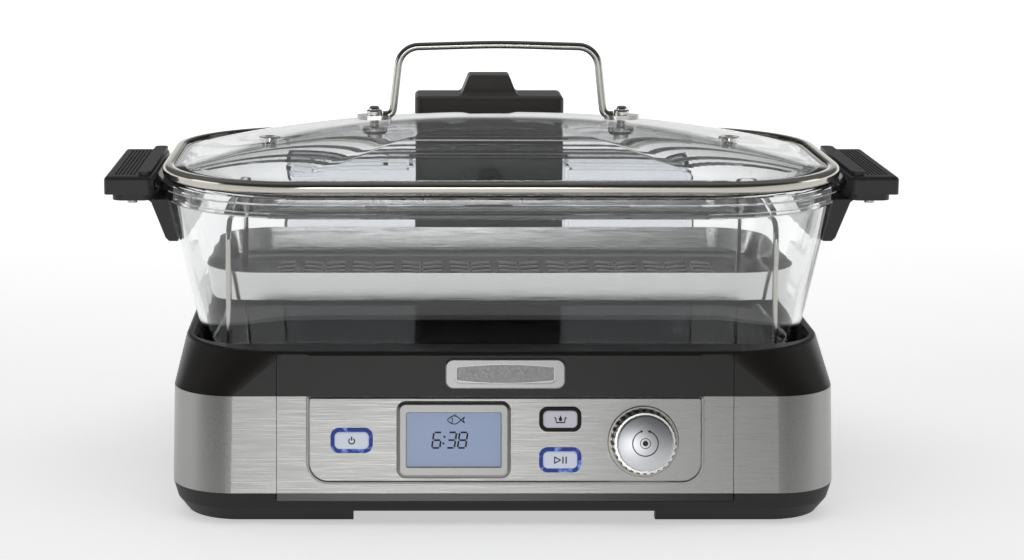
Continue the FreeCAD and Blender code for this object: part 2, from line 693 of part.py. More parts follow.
def pot_grip(label, side):
    body = piece(label)
    near, far = f"{RIM_EDGE} + gap", f"{RIM_EDGE} + grip_out"
    low, high = "pot_y - grip_length/2", "pot_y + grip_length/2"
    top = "(rim_top + 0.6)"
    add(body, f"{top} - grip_thick", top, spread(side, near, far, low, high, "3"))
    round_edges(body, "2.2", at_height(top))
    add(body, top, f"{top} + ridge_rise",
        spread(side, f"{near} + 0.6", f"{near} + 8", f"{low} + 4", f"{high} - 4", "3"))
    starts = [f"{near} + 10 + {index}*2.1" for index in range(6)]
    cut(body, f"{top} - 0.6", f"{top} + 1",
        *[spread(side, start, f"{start} + 1", f"{low} + 8", f"{high} - 8", "0.4") for start in starts])
    cut(body, f"{top} - grip_thick", "lug_low + lug_thick + gap", spread(
        side, f"{RIM_EDGE} - 9", f"{RIM_EDGE} + lug_out + gap*2", "pot_y - lug_length/2 - gap",
        "pot_y + lug_length/2 + gap", "6"))
    cut(body, f"{top} - grip_thick", f"{top} - 2", *screw_holes(side, "1.55"))


def screw_holes(side, radius):
    x = f"{'-' if side < 0 else ''}({RIM_EDGE} + 12)"
    return [circle(x, f"pot_y {sign} 48", radius) for sign in "+-"]


def handle_brackets():
    body = piece("handle_brackets")
    low, high = "pot_y - grip_length/2 + 3", "pot_y + grip_length/2 - 3"
    seat = "(rim_top + 0.6 - grip_thick)"
    for _, side in handle_sides():
        add(body, f"{seat} - 3.8", seat,
            spread(side, f"{RIM_EDGE} + gap", f"{RIM_EDGE} + grip_out - 4", low, high, "6"))
        cut(body, f"{seat} - 3.8", seat, *screw_holes(side, "1.65"))
        wall_top = f"{RIM_EDGE} - rim_out + gap*1.5"
        wall_low = f"({RIM_EDGE} - rim_out + gap*1.5 - (rim_low - leg_bottom)*{RIM_SLOPE})"
        sign = "-" if side < 0 else ""
        points = [(f"{sign}({wall_top} - 0.6)", "rim_low - 1"), (f"{sign}{wall_low}", "leg_bottom"),
                  (f"{sign}({wall_low} + 5)", "leg_bottom"), (f"{sign}({wall_low} + 7)", "leg_bottom + 2"),
                  (f"{sign}({RIM_EDGE} + 1.5)", "rim_low - 2.5"), (f"{sign}({RIM_EDGE} + 4)", "rim_low - 0.6"),
                  (f"{sign}({RIM_EDGE} + 4)", f"{seat}"), (f"{sign}({RIM_EDGE} + 0.3)", f"{seat}"),
                  (f"{sign}({RIM_EDGE} + 0.3)", "rim_low - 1")]
        add(body, "-pot_y - 48", "-pot_y + 48", polygon(*points), plane="XZ")


def handle_screws():
    body = piece("handle_screws")
    seat = "(rim_top + 0.6 - grip_thick - 3.8)"
    for _, side in handle_sides():
        add(body, f"{seat} - 1.8", seat, *screw_holes(side, "2.8"))
        add(body, seat, f"{seat} + 10", *screw_holes(side, "1.5"))


# Lid: domed glass in a steel band, wire handle on two studs, two vents
LID_LOW = "(rim_top + gap)"
LID_TOP = f"({LID_LOW} + lid_band)"
DOME_BASE = f"({LID_LOW} + 1.2 + lid_glass)"
DOME_SHARES = (1, 0.9, 0.78, 0.62, 0.42, 0.2, 0.06)
DOME_POWER = 2.2


def dome_outline(share, inset):
    """A section of the dome; towards the top its corners take up more of its depth."""
    x, y = f"({LID_X} - {inset})*{share}", f"({LID_Y} - {inset})*{share}"
    radius = f"{y}*(1 - (1 - (lid_corner - {inset})/({LID_Y} - {inset}))*{share})"
    return rounded(f"-{x}", x, f"pot_y - {y}", f"pot_y + {y}", radius)


def dome_height(share):
    return f"({DOME_BASE} + dome_rise*{1 - share ** DOME_POWER:.5f})"


def dome_at(x):
    return f"({DOME_BASE} + dome_rise*(1 - (({x})/({LID_X} - 12.5))^{DOME_POWER}))"


def lid_glass():
    body = piece("lid_glass")
    add(body, f"{DOME_BASE} - lid_glass", DOME_BASE, lid_outline("1", "3.4"))
    outer = [(dome_height(share), dome_outline(share, "12.5")) for share in DOME_SHARES]
    loft(body, "Additive", outer, ruled=False)
    inner = [(f"{dome_height(share)} - lid_glass", dome_outline(share, "14")) for share in DOME_SHARES]
    loft(body, "Subtractive", inner, ruled=False)
    cut(body, LID_LOW, "handle_top", *mirrored_pair("handle_half", "pot_y", "3.3"),
        *mirrored_pair("vent_x", "pot_y - vent_y", "4.2"))


def lid_rim():
    body = piece("lid_rim")
    add(body, LID_LOW, LID_TOP, lid_outline("1"))
    round_edges(body, "2.6", at_height(LID_TOP))
    round_edges(body, "1.8", at_height(LID_LOW))
    cut(body, f"{LID_LOW} + 1.1", f"{DOME_BASE} + 0.1", lid_outline("1", "3.1"))
    cut(body, LID_LOW, f"{LID_LOW} + 1.2", lid_outline("1", "11"))
    cut(body, DOME_BASE, f"{LID_TOP} + 1", lid_outline("1", "6.4"))


def bent_path(sketch, corners, radii):
    """Straight runs between the corners, joined by tangent arcs."""
    points = [Vector(value(x), value(y)) for x, y in corners]
    starts, ends, arcs = [points[0]], [], []
    for index, radius_text in enumerate(radii, start=1):
        before = (points[index - 1] - points[index]).normalize()
        after = (points[index + 1] - points[index]).normalize()
        half = before.getAngle(after)/2
        reach = value(radius_text)/math.tan(half)
        ends.append(points[index] + before*reach)
        starts.append(points[index] + after*reach)
        inward = (before + after).normalize()
        centre = points[index] + inward*(value(radius_text)/math.sin(half))
        arcs.append((ends[-1], centre - inward*value(radius_text), starts[-1]))
    ends.append(points[-1])
    for index, (start, end) in enumerate(zip(starts, ends)):
        sketch.addGeometry(Part.LineSegment(start, end))
        if index < len(arcs):
            sketch.addGeometry(Part.Arc(*arcs[index]))


def pipe(body, plane, offset, corners, radii, radius, round_x, round_z):
    """A round rod along a bent path whose first run is square to the plane of its end circle."""
    spine = sketch_on(body, plane, offset)
    bent_path(spine, corners, radii)
    profile_plane, profile_offset = round_z
    profile = sketch_on(body, profile_plane, profile_offset, circle(*round_x, radius))
    feature = body.newObject("PartDesign::AdditivePipe", "Pipe")
    feature.Profile = profile
    feature.Spine = spine
    body.Tip = feature
    return feature


def lid_handle():
    body = piece("lid_handle")
    plate = "(" + dome_at("handle_half - 9") + " + 0.35)"
    foot = f"({plate} + rod_radius)"
    corners = [("-leg_half - 5.5", foot), ("-leg_half", foot), ("-bar_half", "handle_top - 1.6"),
               ("0", "handle_top"),
               ("bar_half", "handle_top - 1.6"), ("leg_half", foot), ("leg_half + 5.5", foot)]
    pipe(body, "XZ", "-pot_y", corners, ["4", "12", "500", "12", "4"], "rod_radius",
         ("pot_y", foot), ("YZ", "-leg_half - 5.5"))
    for sign in "-+":
        middle = f"({sign}handle_half)"
        add(body, plate, f"{plate} + 2.4", centred(middle, "pot_y", "20", "12.5", "6"))
        cut(body, f"{plate} - 1", f"{plate} + 2.4", circle(middle, "pot_y", "2.6"))


def lid_fasteners():
    plate = "(" + dome_at("handle_half - 9") + " + 0.35)"
    under = f"({plate} - 10.4)"
    nuts = piece("lid_nuts")
    add(nuts, f"{plate} + 2.4", f"{plate} + 5.4", *mirrored_pair("handle_half", "pot_y", "4.6"))
    round_edges(nuts, "1", at_height(f"{plate} + 5.4"))
    add(nuts, f"{plate} + 5.4", f"{plate} + 7.6", *mirrored_pair("handle_half", "pot_y", "3.2"))
    round_edges(nuts, "2", at_height(f"{plate} + 7.6"))
    cut(nuts, f"{plate} + 2.4", f"{plate} + 4.6", *mirrored_pair("handle_half", "pot_y", "2.55"))
    studs = piece("lid_studs")
    add(studs, f"{under} - 1.6", under, *mirrored_pair("handle_half", "pot_y", "4.4"))
    add(studs, under, f"{plate} + 4.6", *mirrored_pair("handle_half", "pot_y", "2.5"))
    cups = piece("lid_washers")
    add(cups, under, f"{under} + 3.4", *mirrored_pair("handle_half", "pot_y", "7.6"))
    round_edges(cups, "2.4", at_height(under))
    cut(cups, under, f"{under} + 3.4", *mirrored_pair("handle_half", "pot_y", "2.6"))


def vent_grommets():
    body = piece("vent_grommets")
    seat = dome_at("vent_x - 6")
    add(body, f"{seat} + 0.1", f"{seat} + 1.3", *mirrored_pair("vent_x", "pot_y - vent_y", "6"))
    round_edges(body, "0.6", at_height(f"{seat} + 1.3"))
    add(body, f"{seat} - 7.6", f"{seat} + 0.1", *mirrored_pair("vent_x", "pot_y - vent_y", "4.1"))
    cut(body, f"{seat} - 8", f"{seat} + 2", *mirrored_pair("vent_x", "pot_y - vent_y", "2.8"))


# Steaming tray with herringbone slots, and its two wire bails
def slanted_slot(x, y, lean):
    along = ("slot_length/2*cos(slot_angle)", f"({lean}*slot_length/2*sin(slot_angle))")
    across = (f"({lean}*slot_width/2*sin(slot_angle))", "slot_width/2*cos(slot_angle)")
    corner = []
    for run, step in ((-1, -1), (1, -1), (1, 1), (-1, 1)):
        corner.append((f"{x} + {run}*{along[0]} - {step}*{across[0]}",
                       f"{y} + {run}*{along[1]} + {step}*{across[1]}"))
    return polygon(*corner)


def steam_tray():
    body = piece("steam_tray")
    flare, floor = "((tray_top - tray_floor)*tan(tray_draft))", "(tray_floor + tray_sheet)"
    bind(add(body, "tray_floor", "tray_top", tray_outline(flare)), "TaperAngle", "tray_draft")
    round_edges(body, "4", at_height("tray_floor"))
    inner = f"(({floor} - tray_floor)*tan(tray_draft))"
    hollow = cut(body, floor, "tray_top", tray_outline(f"{flare} - {inner} + tray_sheet"))
    bind(hollow, "TaperAngle", "tray_draft")
    round_edges(body, "2.8", at_height(floor))
    middle, columns, rows = "(pot_y - tray_back)", 18, 8
    chevron = cut(body, "tray_floor - 1", "tray_floor + tray_sheet",
                  slanted_slot(f"-slot_pitch*{columns/2 - 0.5}", f"{middle} - row_pitch*{rows/2 - 0.5}", 1),
                  slanted_slot(f"-slot_pitch*{columns/2 - 1.5}", f"{middle} - row_pitch*{rows/2 - 0.5}", -1))
    pattern = body.newObject("PartDesign::LinearPattern", "Herringbone")
    pattern.Originals = [chevron]
    axes = {item.Role: item for item in body.Origin.OriginFeatures}
    pattern.Direction = (axes["X_Axis"], [""])
    pattern.Occurrences = columns//2
    bind(pattern, "Length", f"slot_pitch*{columns - 2}")
    pattern.Direction2 = (axes["Y_Axis"], [""])
    pattern.Occurrences2 = rows
    bind(pattern, "Length2", f"row_pitch*{rows - 1}")
    body.Tip = pattern
    cut(body, "tray_floor - 1", f"{floor} + 1.5", *mirrored_pair(BAIL_X, bail_leg(1), "wire_radius + gap"))


BAIL_X = f"({TRAY_X} - bail_inset)"


def bail_leg(side):
    """Where a leg stands: the front one outside the tray's corner wall, the rear one inside it."""
    reach = "(tray_corner + wire_radius + 0.2)" if side < 0 else "(tray_corner - wire_radius*3.8)"
    sign = "-" if side < 0 else "+"
    return (f"(pot_y - tray_back {sign} ({TRAY_Y} - tray_corner)"
            f" {sign} sqrt({reach}^2 - (tray_corner - bail_inset)^2))")


def tray_bails():
    body = piece("tray_bails")
    front, back, floor = bail_leg(-1), bail_leg(1), "(pot_floor + glass + gap)"
    corners = [(front, floor), (front, "bail_top"), (back, "bail_top"), (back, floor)]
    for sign in "-+":
        x = f"({sign}{BAIL_X})"
        pipe(body, "YZ", x, corners, ["9", "9"], "wire_radius", (x, front), ("XY", floor))


# Water tank, lifted out by the grip on its neck
def tank_plan(inset):
    """The tank seen from above: a wide box with a notch for the tower at its front."""
    inset = f"({inset})"
    side, notch = f"(tank_half - {inset})", f"(tower_half + 1.5 + {inset})"
    front, back = f"(tower_front + {inset})", f"(tank_back - {inset})"
    step = f"(tower_front + tower_depth + 1.5 + {inset})"
    return polygon((f"-{side}", front), (f"-{notch}", front), (f"-{notch}", step), (notch, step),
                   (notch, front), (side, front), (side, back), (f"-{side}", back))


def tank_shell():
    body = piece("tank_shell")
    floor = "(well_floor + gap)"
    add(body, floor, "tank_top", tank_plan("0"))
    side = value("tank_half")
    round_edges(body, "5", lambda edge: upright(edge) and abs(abs(edge.BoundBox.XMin) - side) < 0.01)
    cut(body, f"{floor} + tank_wall", "tank_top", tank_plan("tank_wall"))
    add(body, "51", f"{floor} + tank_wall", circle("valve_x", "valve_y", "valve_radius + 3"))
    cut(body, "53", f"{floor} + tank_wall", circle("valve_x", "valve_y", "valve_radius"))
    cut(body, "50", "53", circle("valve_x", "valve_y", "valve_radius - 2"))


def valve_poppet():
    body = piece("valve_poppet")
    add(body, "53 + valve_travel + 0.1", "53 + valve_travel + 2.6",
        circle("valve_x", "valve_y", "valve_radius - 0.6"))
    add(body, "50.5", "53 + valve_travel + 0.1", circle("valve_x", "valve_y", "valve_radius - 3"))


def tank_cover():
    body = piece("tank_cover")
    add(body, "tank_top", "tank_top + 2.4", tank_plan("0.2"))
    add(body, "tank_top - 3", "tank_top", tank_plan("tank_wall + 0.15"))
    cut(body, "tank_top - 4", "tank_top", tank_plan("tank_wall + 1.8"))
    cut(body, "tank_top - 1", "tank_top + 4", centred("-90", "(tower_front + tank_back)/2", "52", "22", "10"))
    for sign in "-+":
        add(body, "tank_top + 2.4", "tank_top + 6",
            centred(f"({sign}116)", "tower_front + 5", "20", "3", "1.2"))


def tank_handle():
    body = piece("tank_handle")
    shoulder = "(tower_top + 1 + cap_rise)"
    front, back = "-tank_back", "-tower_front"
    neck_front = "tower_front + tower_depth + 1.7"
    add(body, "tank_top + 2.4", "tower_top + 1",
        rectangle("-tower_half", "tower_half", neck_front, "tank_back - 0.4"))
    add(body, "tower_top + 1", shoulder,
        rounded("-tower_half", "tower_half", "tower_front", "tank_back", "5", "4"))
    round_edges(body, "3", at_height(shoulder))
    crest = "tower_top + hump_rise"
    profile = polygon(("-hump_half - 5", shoulder), ("hump_half + 5", shoulder), ("hump_half", crest),
                      ("-hump_half", crest))
    add(body, f"{front} + 7", f"{back} - 9", profile, plane="XZ")
    reach = value("hump_half") + 5.01
    round_edges(body, "3.6", lambda edge: at_height(shoulder)(edge)
                and max(abs(edge.BoundBox.XMin), abs(edge.BoundBox.XMax)) < reach)
    round_edges(body, "2.2", at_height(crest))


# Steam generator, pump, pipes and boards inside the base
def boiler():
    body = piece("boiler")
    low = f"({FLOOR} + 4)"
    add(body, low, f"{low} + boiler_height", circle("0", "boiler_y", "boiler_radius"))
    round_edges(body, "3", at_height(f"{low} + boiler_height"))
    add(body, f"{low} + 14", f"{low} + 19", circle("0", "boiler_y", "boiler_radius + 4"))
    leg_spots = (("-26", "boiler_y - 15"), ("26", "boiler_y - 15"), ("0", "boiler_y + 29"))
    legs = [circle(x, y, "4") for x, y in leg_spots]
    add(body, FLOOR, low, *legs)
    outlet = "-boiler_y - boiler_radius"
    add(body, f"{outlet} - 9", f"{outlet} + 6", circle("0", "pipe_z", "pipe_radius + 1.6"), plane="XZ")
    cut(body, f"{outlet} - 9", f"{outlet} + 2", circle("0", "pipe_z", "pipe_radius + 0.05"), plane="XZ")
    for x in ("-18", "18"):
        add(body, f"{low} + boiler_height", f"{low} + boiler_height + 6",
            centred(x, "boiler_y", "6", "3", "0.5"))


def thermal_cutout():
    body = piece("thermal_cutout")
    top = f"({FLOOR} + 4 + boiler_height)"
    add(body, top, f"{top} + 5", circle("0", "boiler_y - 12", "8"))
    round_edges(body, "1", at_height(f"{top} + 5"))


def steam_pipe():
    body = piece("steam_pipe")
    rise_y = "(tower_front + tower_depth/2)"
    start = "(boiler_y + boiler_radius - 1.5)"
    corners = [(start, "pipe_z"), (rise_y, "pipe_z"), (rise_y, "port_z - 14")]
    pipe(body, "YZ", "0", corners, ["12"], "pipe_radius", ("0", "pipe_z"), ("XZ", f"-{start}"))


def pump():
    body = piece("pump")
    add(body, "14", "14 + pump_length", circle("valve_y", "pipe_z", "pump_radius"), plane="YZ")
    add(body, "14 + pump_length", "14 + pump_length + 6", circle("valve_y", "pipe_z", "3.4"), plane="YZ")
    add(body, FLOOR, "pipe_z", rectangle("20", "54", "valve_y - 9", "valve_y + 9"))


def water_tubes():
    body = piece("water_tubes")
    add(body, "14 + pump_length + 6", "valve_x - valve_radius - 7.1",
        circle("valve_y", "pipe_z", "pipe_bore"), plane="YZ")
    add(body, "-valve_y + pump_radius", "-boiler_y - 21.2",
        circle("tube_x", "pipe_z", "pipe_bore"), plane="XZ")


def power_board():
    body = piece("power_board")
    add(body, f"{FLOOR} + 5", f"{FLOOR} + 6.6", rectangle("-142", "-62", "-50", "20"))
    add(body, FLOOR, f"{FLOOR} + 5", *[circle(x, y, "3") for x in ("-137", "-67") for y in ("-45", "15")])
    add(body, f"{FLOOR} + 6.6", f"{FLOOR} + 22",
        rectangle("-136", "-112", "-40", "-12"), rectangle("-104", "-90", "-40", "-20"))
    add(body, f"{FLOOR} + 6.6", f"{FLOOR} + 18", circle("-78", "0", "7"), rectangle("-132", "-104", "0", "12"))


def build():
    bottom_housing()
    rubber_feet()
    base_screws()
    side_panel("left_side_panel", -1)
    side_panel("right_side_panel", 1)
    rear_cover()
    cord_gland()
    collar()
    collar_front()
    badge_plate()
    seat_liner()
    tank_well()
    tank_socket()
    tower_shell()
    steam_nozzle()
    front_fascia()
    panel_carrier()
    display_bezel()
    display_stack()
    control_board()
    tact_switches()
    button_rings()
    for label, (x, y) in button_spots().items():
        button(label, x, y)
    knob_ring()
    encoder()
    knob_grip()
    knob_face()
    glass_pot()
    steam_seal()
    for name, side in handle_sides():
        pot_grip(f"{name}_grip", side)
    handle_brackets()
    handle_screws()
    lid_glass()
    lid_rim()
    lid_handle()
    lid_fasteners()
    vent_grommets()
    steam_tray()
    tray_bails()
    tank_shell()
    tank_cover()
    tank_handle()
    valve_poppet()
    boiler()
    thermal_cutout()
    steam_pipe()
    pump()
    water_tubes()
    power_board()


def check_and_write():
    doc.recompute()
    failed = [item.Label for item in doc.Objects if "Invalid" in item.State or "Error" in item.State]
    if failed:
        raise RuntimeError(f"failed objects: {failed}")
    for body in PIECES:
        if body.Shape.isNull() or not body.Shape.isValid() or not body.Shape.Solids:
            raise RuntimeError(f"bad shape: {body.Label}")
    os.makedirs("parts", exist_ok=True)
    for body in PIECES:
        body.Shape.exportStep(f"parts/{body.Label}.step")
    print(len(PIECES), "pieces written")


build()
check_and_write()
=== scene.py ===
"""Looks for the electric food steamer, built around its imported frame.

Shapes are worked out in millimetres and turned into metres where they are made.
The camera, the lights, the floor and the bump heights are in metres from the start.
"""
import math

import bmesh
import bpy
from mathutils import Matrix, Vector


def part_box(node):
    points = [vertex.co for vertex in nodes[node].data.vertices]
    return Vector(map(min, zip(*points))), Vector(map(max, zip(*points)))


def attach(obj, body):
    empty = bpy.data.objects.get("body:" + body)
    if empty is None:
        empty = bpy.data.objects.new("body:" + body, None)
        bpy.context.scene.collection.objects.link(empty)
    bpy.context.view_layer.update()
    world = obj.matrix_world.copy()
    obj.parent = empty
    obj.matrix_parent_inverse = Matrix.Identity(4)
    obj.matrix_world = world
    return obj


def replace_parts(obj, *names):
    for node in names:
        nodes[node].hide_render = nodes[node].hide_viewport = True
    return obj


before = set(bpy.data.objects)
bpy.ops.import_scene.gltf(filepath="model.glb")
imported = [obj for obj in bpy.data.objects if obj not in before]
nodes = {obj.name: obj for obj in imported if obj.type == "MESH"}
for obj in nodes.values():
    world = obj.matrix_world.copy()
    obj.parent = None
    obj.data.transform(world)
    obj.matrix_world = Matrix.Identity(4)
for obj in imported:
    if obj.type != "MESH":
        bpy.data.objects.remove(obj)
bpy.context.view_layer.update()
scene = bpy.context.scene


def middle_of(node):
    """The middle of a node's box, in metres."""
    low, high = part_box(node)
    return (low + high) / 2


# Camera
CAMERA_PLACE = (-0.0578, -1.3949, 0.3819)
CAMERA_PITCH = 11.16  # degrees down from level
FOCAL_LENGTH, SENSOR_WIDTH = 84.375, 36
PICTURE_SHIFT = 0.1113  # to the right, in picture widths
CAMERA_REACH = 100


def set_camera():
    """The photograph's camera: level sideways, and looking down a little."""
    data = bpy.data.cameras.new("camera")
    data.lens = FOCAL_LENGTH
    data.sensor_width = SENSOR_WIDTH
    data.shift_x = PICTURE_SHIFT
    data.clip_end = CAMERA_REACH
    camera = bpy.data.objects.new("camera", data)
    camera.location = CAMERA_PLACE
    camera.rotation_euler = (math.radians(90 - CAMERA_PITCH), 0, 0)
    scene.collection.objects.link(camera)
    scene.camera = camera


set_camera()


# Materials
MIX_FACTOR, MIX_FIRST, MIX_SECOND, MIX_RESULT = 0, 6, 7, 2  # a Mix node's sockets for colours
GRAIN_HEIGHT, LINE_HEIGHT = 0.0001, 0.00005
BLACK = (0.0, 0.0, 0.0)
DEEP_BLACK = (0.006, 0.006, 0.007)


class Shader:
    """A node material with short calls for the nodes used here."""

    def __init__(self, name, **values):
        self.material = bpy.data.materials.new(name)
        self.material.use_nodes = True
        self.tree = self.material.node_tree
        self.bsdf = self.tree.nodes["Principled BSDF"]
        for key, setting in values.items():
            socket = self.bsdf.inputs[key.replace("_", " ")]
            socket.default_value = (*setting, 1) if isinstance(setting, tuple) else setting

    def node(self, kind, **settings):
        """A new node. A setting goes to its input of that name, or else to the node itself."""
        made = self.tree.nodes.new("ShaderNode" + kind)
        for key, setting in settings.items():
            if key in made.inputs:
                made.inputs[key].default_value = setting
            else:
                setattr(made, key, setting)
        return made

    def link(self, source, target):
        self.tree.links.new(source, target)

    def place(self, scale=(1, 1, 1)):
        """Object coordinates, scaled on each axis."""
        coordinates = self.node("TexCoord")
        mapping = self.node("Mapping")
        mapping.inputs["Scale"].default_value = scale
        self.link(coordinates.outputs["Object"], mapping.inputs["Vector"])
        return mapping.outputs["Vector"]

    def noise(self, size, detail=2.0, scale=(1, 1, 1)):
        """A grey noise, drawn out along the axes where the scale is small."""
        noise = self.node("TexNoise", Scale=size, Detail=detail)
        self.link(self.place(scale), noise.inputs["Vector"])
        return noise.outputs["Fac"]

    def ramp(self, source, low, high, at=(0.0, 1.0)):
        """Maps a grey value to a range of numbers."""
        made = self.node("MapRange")
        for name, number in zip(("From Min", "From Max", "To Min", "To Max"), (*at, low, high)):
            made.inputs[name].default_value = number
        self.link(source, made.inputs["Value"])
        return made.outputs["Result"]

    def mix(self, source, first, second):
        """Goes from one colour to another with a grey value. The first may come from a node."""
        made = self.node("Mix", data_type="RGBA")
        if isinstance(first, tuple):
            made.inputs[MIX_FIRST].default_value = (*first, 1)
        else:
            self.link(first, made.inputs[MIX_FIRST])
        made.inputs[MIX_SECOND].default_value = (*second, 1)
        self.link(source, made.inputs[MIX_FACTOR])
        return made.outputs[MIX_RESULT]

    def bump(self, source, strength, distance):
        """Shades the surface as if it rose and fell with a grey value."""
        made = self.node("Bump")
        made.inputs["Strength"].default_value = strength
        made.inputs["Distance"].default_value = distance
        self.link(source, made.inputs["Height"])
        self.link(made.outputs["Normal"], self.bsdf.inputs["Normal"])


def plastic(name, colour, roughness, grain=0.0, size=1800, coat=0.0):
    """Moulded plastic, smooth or with a fine grain."""
    shader = Shader(name, Base_Color=colour, Roughness=roughness, Coat_Weight=coat)
    if grain:
        shader.bump(shader.noise(size), grain, GRAIN_HEIGHT)
    return shader.material


def brushed(name, colour, roughness, along, strength, spread):
    """Metal whose fine lines show in its colour, its gloss and its height."""
    shader = Shader(name, Base_Color=colour, Roughness=roughness, Metallic=1.0)
    lines = shader.noise(1.0, 3, along)
    band = (0.3, 0.7)
    dark = tuple(part * (1 - spread * 2) for part in colour)
    light = tuple(min(1, part * (1 + spread)) for part in colour)
    tint = shader.mix(shader.ramp(lines, 0, 1, band), dark, light)
    gloss = shader.ramp(lines, roughness - 0.06, roughness + 0.08, band)
    shader.link(tint, shader.bsdf.inputs["Base Color"])
    shader.link(gloss, shader.bsdf.inputs["Roughness"])
    shader.bump(lines, strength, LINE_HEIGHT)
    return shader.material


def metal(name, colour, roughness):
    """Plain metal, with no lines."""
    return Shader(name, Base_Color=colour, Roughness=roughness, Metallic=1.0).material


def clear(name, colour, ior=1.47, shade=0.85):
    """Clear glass or plastic that lets light through in its shadow."""
    shader = Shader(name, Base_Color=colour, Roughness=0.0, IOR=ior, Transmission_Weight=1.0)
    passing = shader.node("BsdfTransparent")
    passing.inputs["Color"].default_value = (shade, shade, shade, 1)
    path = shader.node("LightPath")
    blend = shader.node("MixShader")
    output = shader.tree.nodes["Material Output"]
    shader.link(path.outputs["Is Shadow Ray"], blend.inputs["Fac"])
    shader.link(shader.bsdf.outputs["BSDF"], blend.inputs[1])
    shader.link(passing.outputs["BSDF"], blend.inputs[2])
    shader.link(blend.outputs["Shader"], output.inputs["Surface"])
    return shader.material


def domed(name, colour, roughness, middle, height):
    """Metal on a flat face, shaded as a low dome round its middle."""
    shader = Shader(name, Base_Color=colour, Roughness=roughness, Metallic=1.0)
    reach = shader.node("VectorMath", operation="DISTANCE")
    shader.link(shader.place(), reach.inputs[0])
    reach.inputs[1].default_value = middle
    square = shader.node("Math", operation="POWER")
    shader.link(reach.outputs["Value"], square.inputs[0])
    square.inputs[1].default_value = 2
    shader.bump(shader.ramp(square.outputs[0], 0, -height), 1, 1)
    return shader.material


def glow(name, colour, strength, roughness):
    """Plastic that gives off light: lit from behind in the display, a painted glow on the button faces."""
    shader = Shader(name, Base_Color=colour, Roughness=roughness)
    shader.bsdf.inputs["Emission Color"].default_value = (*colour, 1)
    shader.bsdf.inputs["Emission Strength"].default_value = strength
    return shader.material


def lit_rings():
    """Lit blue round the power and start buttons, with painted glints, and black round the tray button.

    The three rings are one piece, so the black one is told by its place: right of the
    middle, and above the start button.
    """
    shader = Shader("button_rings", Roughness=0.35, Specular_IOR_Level=0.2)
    place = shader.node("SeparateXYZ")
    shader.link(shader.place(), place.inputs[0])
    above_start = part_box("start_button")[1].z + 0.005
    dark = shader.node("Math", operation="MULTIPLY")
    for axis, limit, socket in (("X", 0, dark.inputs[0]), ("Z", above_start, dark.inputs[1])):
        past = shader.node("Math", operation="GREATER_THAN")
        past.inputs[1].default_value = limit
        shader.link(place.outputs[axis], past.inputs[0])
        shader.link(past.outputs[0], socket)
    # Painted glints: paler blue spots from a noise, in both the colour and the glow, stand in for highlights
    # on the blue rings.
    painted_glints = shader.ramp(shader.noise(230, 1), 0, 1, (0.54, 0.72))
    blue = shader.mix(painted_glints, (0.022, 0.042, 0.22), (0.22, 0.34, 0.75))
    for socket, black in (("Base Color", DEEP_BLACK), ("Emission Color", BLACK)):
        shader.link(shader.mix(dark.outputs[0], blue, black), shader.bsdf.inputs[socket])
    shader.bsdf.inputs["Emission Strength"].default_value = 0.5
    return shader.material


# Plastics and rubber
skirt = plastic("skirt_plastic", (0.004, 0.0045, 0.006), 0.55, 0.25)
collar = plastic("collar_plastic", (0.014, 0.0122, 0.011), 0.36, 0.3, 2600)
dark_plastic = plastic("dark_plastic", DEEP_BLACK, 0.22)
grip = plastic("grip_plastic", (0.028, 0.028, 0.03), 0.42, 0.3)
bracket = plastic("bracket_plastic", (0.02, 0.02, 0.022), 0.4, 0.1)
tank_grip = plastic("tank_grip", (0.085, 0.076, 0.07), 0.42, 0.2)
rubber = plastic("rubber", (0.02, 0.02, 0.02), 0.7)
silicone = plastic("silicone", (0.015, 0.015, 0.016), 0.5)
board = plastic("circuit_board", (0.02, 0.1, 0.04), 0.4)
white_plastic = plastic("white_plastic", (0.7, 0.7, 0.68), 0.4)
# Painted shade: the dark blue line drawn round the display's window.
shade_line_blue = plastic("shade_line_blue", (0.02, 0.035, 0.12), 0.2, coat=0.3)
display_ink = plastic("display_ink", (0.01, 0.014, 0.03), 0.6)
icon_ink = plastic("icon_ink", DEEP_BLACK, 0.6)
knob_ink = plastic("knob_mark_grey", (0.02, 0.02, 0.024), 0.5)

# Metals
steel = brushed("panel_steel", (0.37, 0.37, 0.365), 0.3, (40, 5200, 5200), 0.05, 0.05)
tray_steel = brushed("tray_steel", (0.72, 0.72, 0.72), 0.17, (60, 700, 1400), 0.03, 0.02)
badge_grey = brushed("badge_grey", (0.27, 0.27, 0.27), 0.35, (900, 900, 900), 0.05, 0.08)
badge_silver = metal("badge_silver", (0.36, 0.36, 0.36), 0.3)
silver = metal("silver", (0.5, 0.5, 0.51), 0.3)
dark_silver = metal("dark_silver", (0.3, 0.29, 0.27), 0.25)
bright = metal("bright_steel", (0.72, 0.71, 0.69), 0.12)
wire = metal("wire_steel", (0.55, 0.54, 0.51), 0.16)
rim_steel = metal("rim_steel", (0.62, 0.6, 0.54), 0.12)
bezel_steel = metal("bezel_steel", (0.3, 0.3, 0.29), 0.3)
bead_steel = metal("bead_steel", (0.45, 0.44, 0.42), 0.3)
knob_metal = metal("knob_grip_metal", (0.72, 0.71, 0.69), 0.16)
knob_silver = domed("knob_silver", (0.6, 0.61, 0.63), 0.3, middle_of("knob_face"), 5)
slot_lip = Shader("slot_lip", Base_Color=(0.7, 0.69, 0.67), Metallic=0.25, Roughness=0.35).material

# Glass, and what is lit
pot_glass = clear("pot_glass", (0.96, 0.97, 0.97))
lid_glass = clear("lid_glass", (0.95, 0.965, 0.97))
tank_clear = clear("tank_clear", (0.93, 0.94, 0.96), 1.49, 0.9)
display_blue = glow("display_blue", (0.12, 0.165, 0.275), 0.75, 0.2)
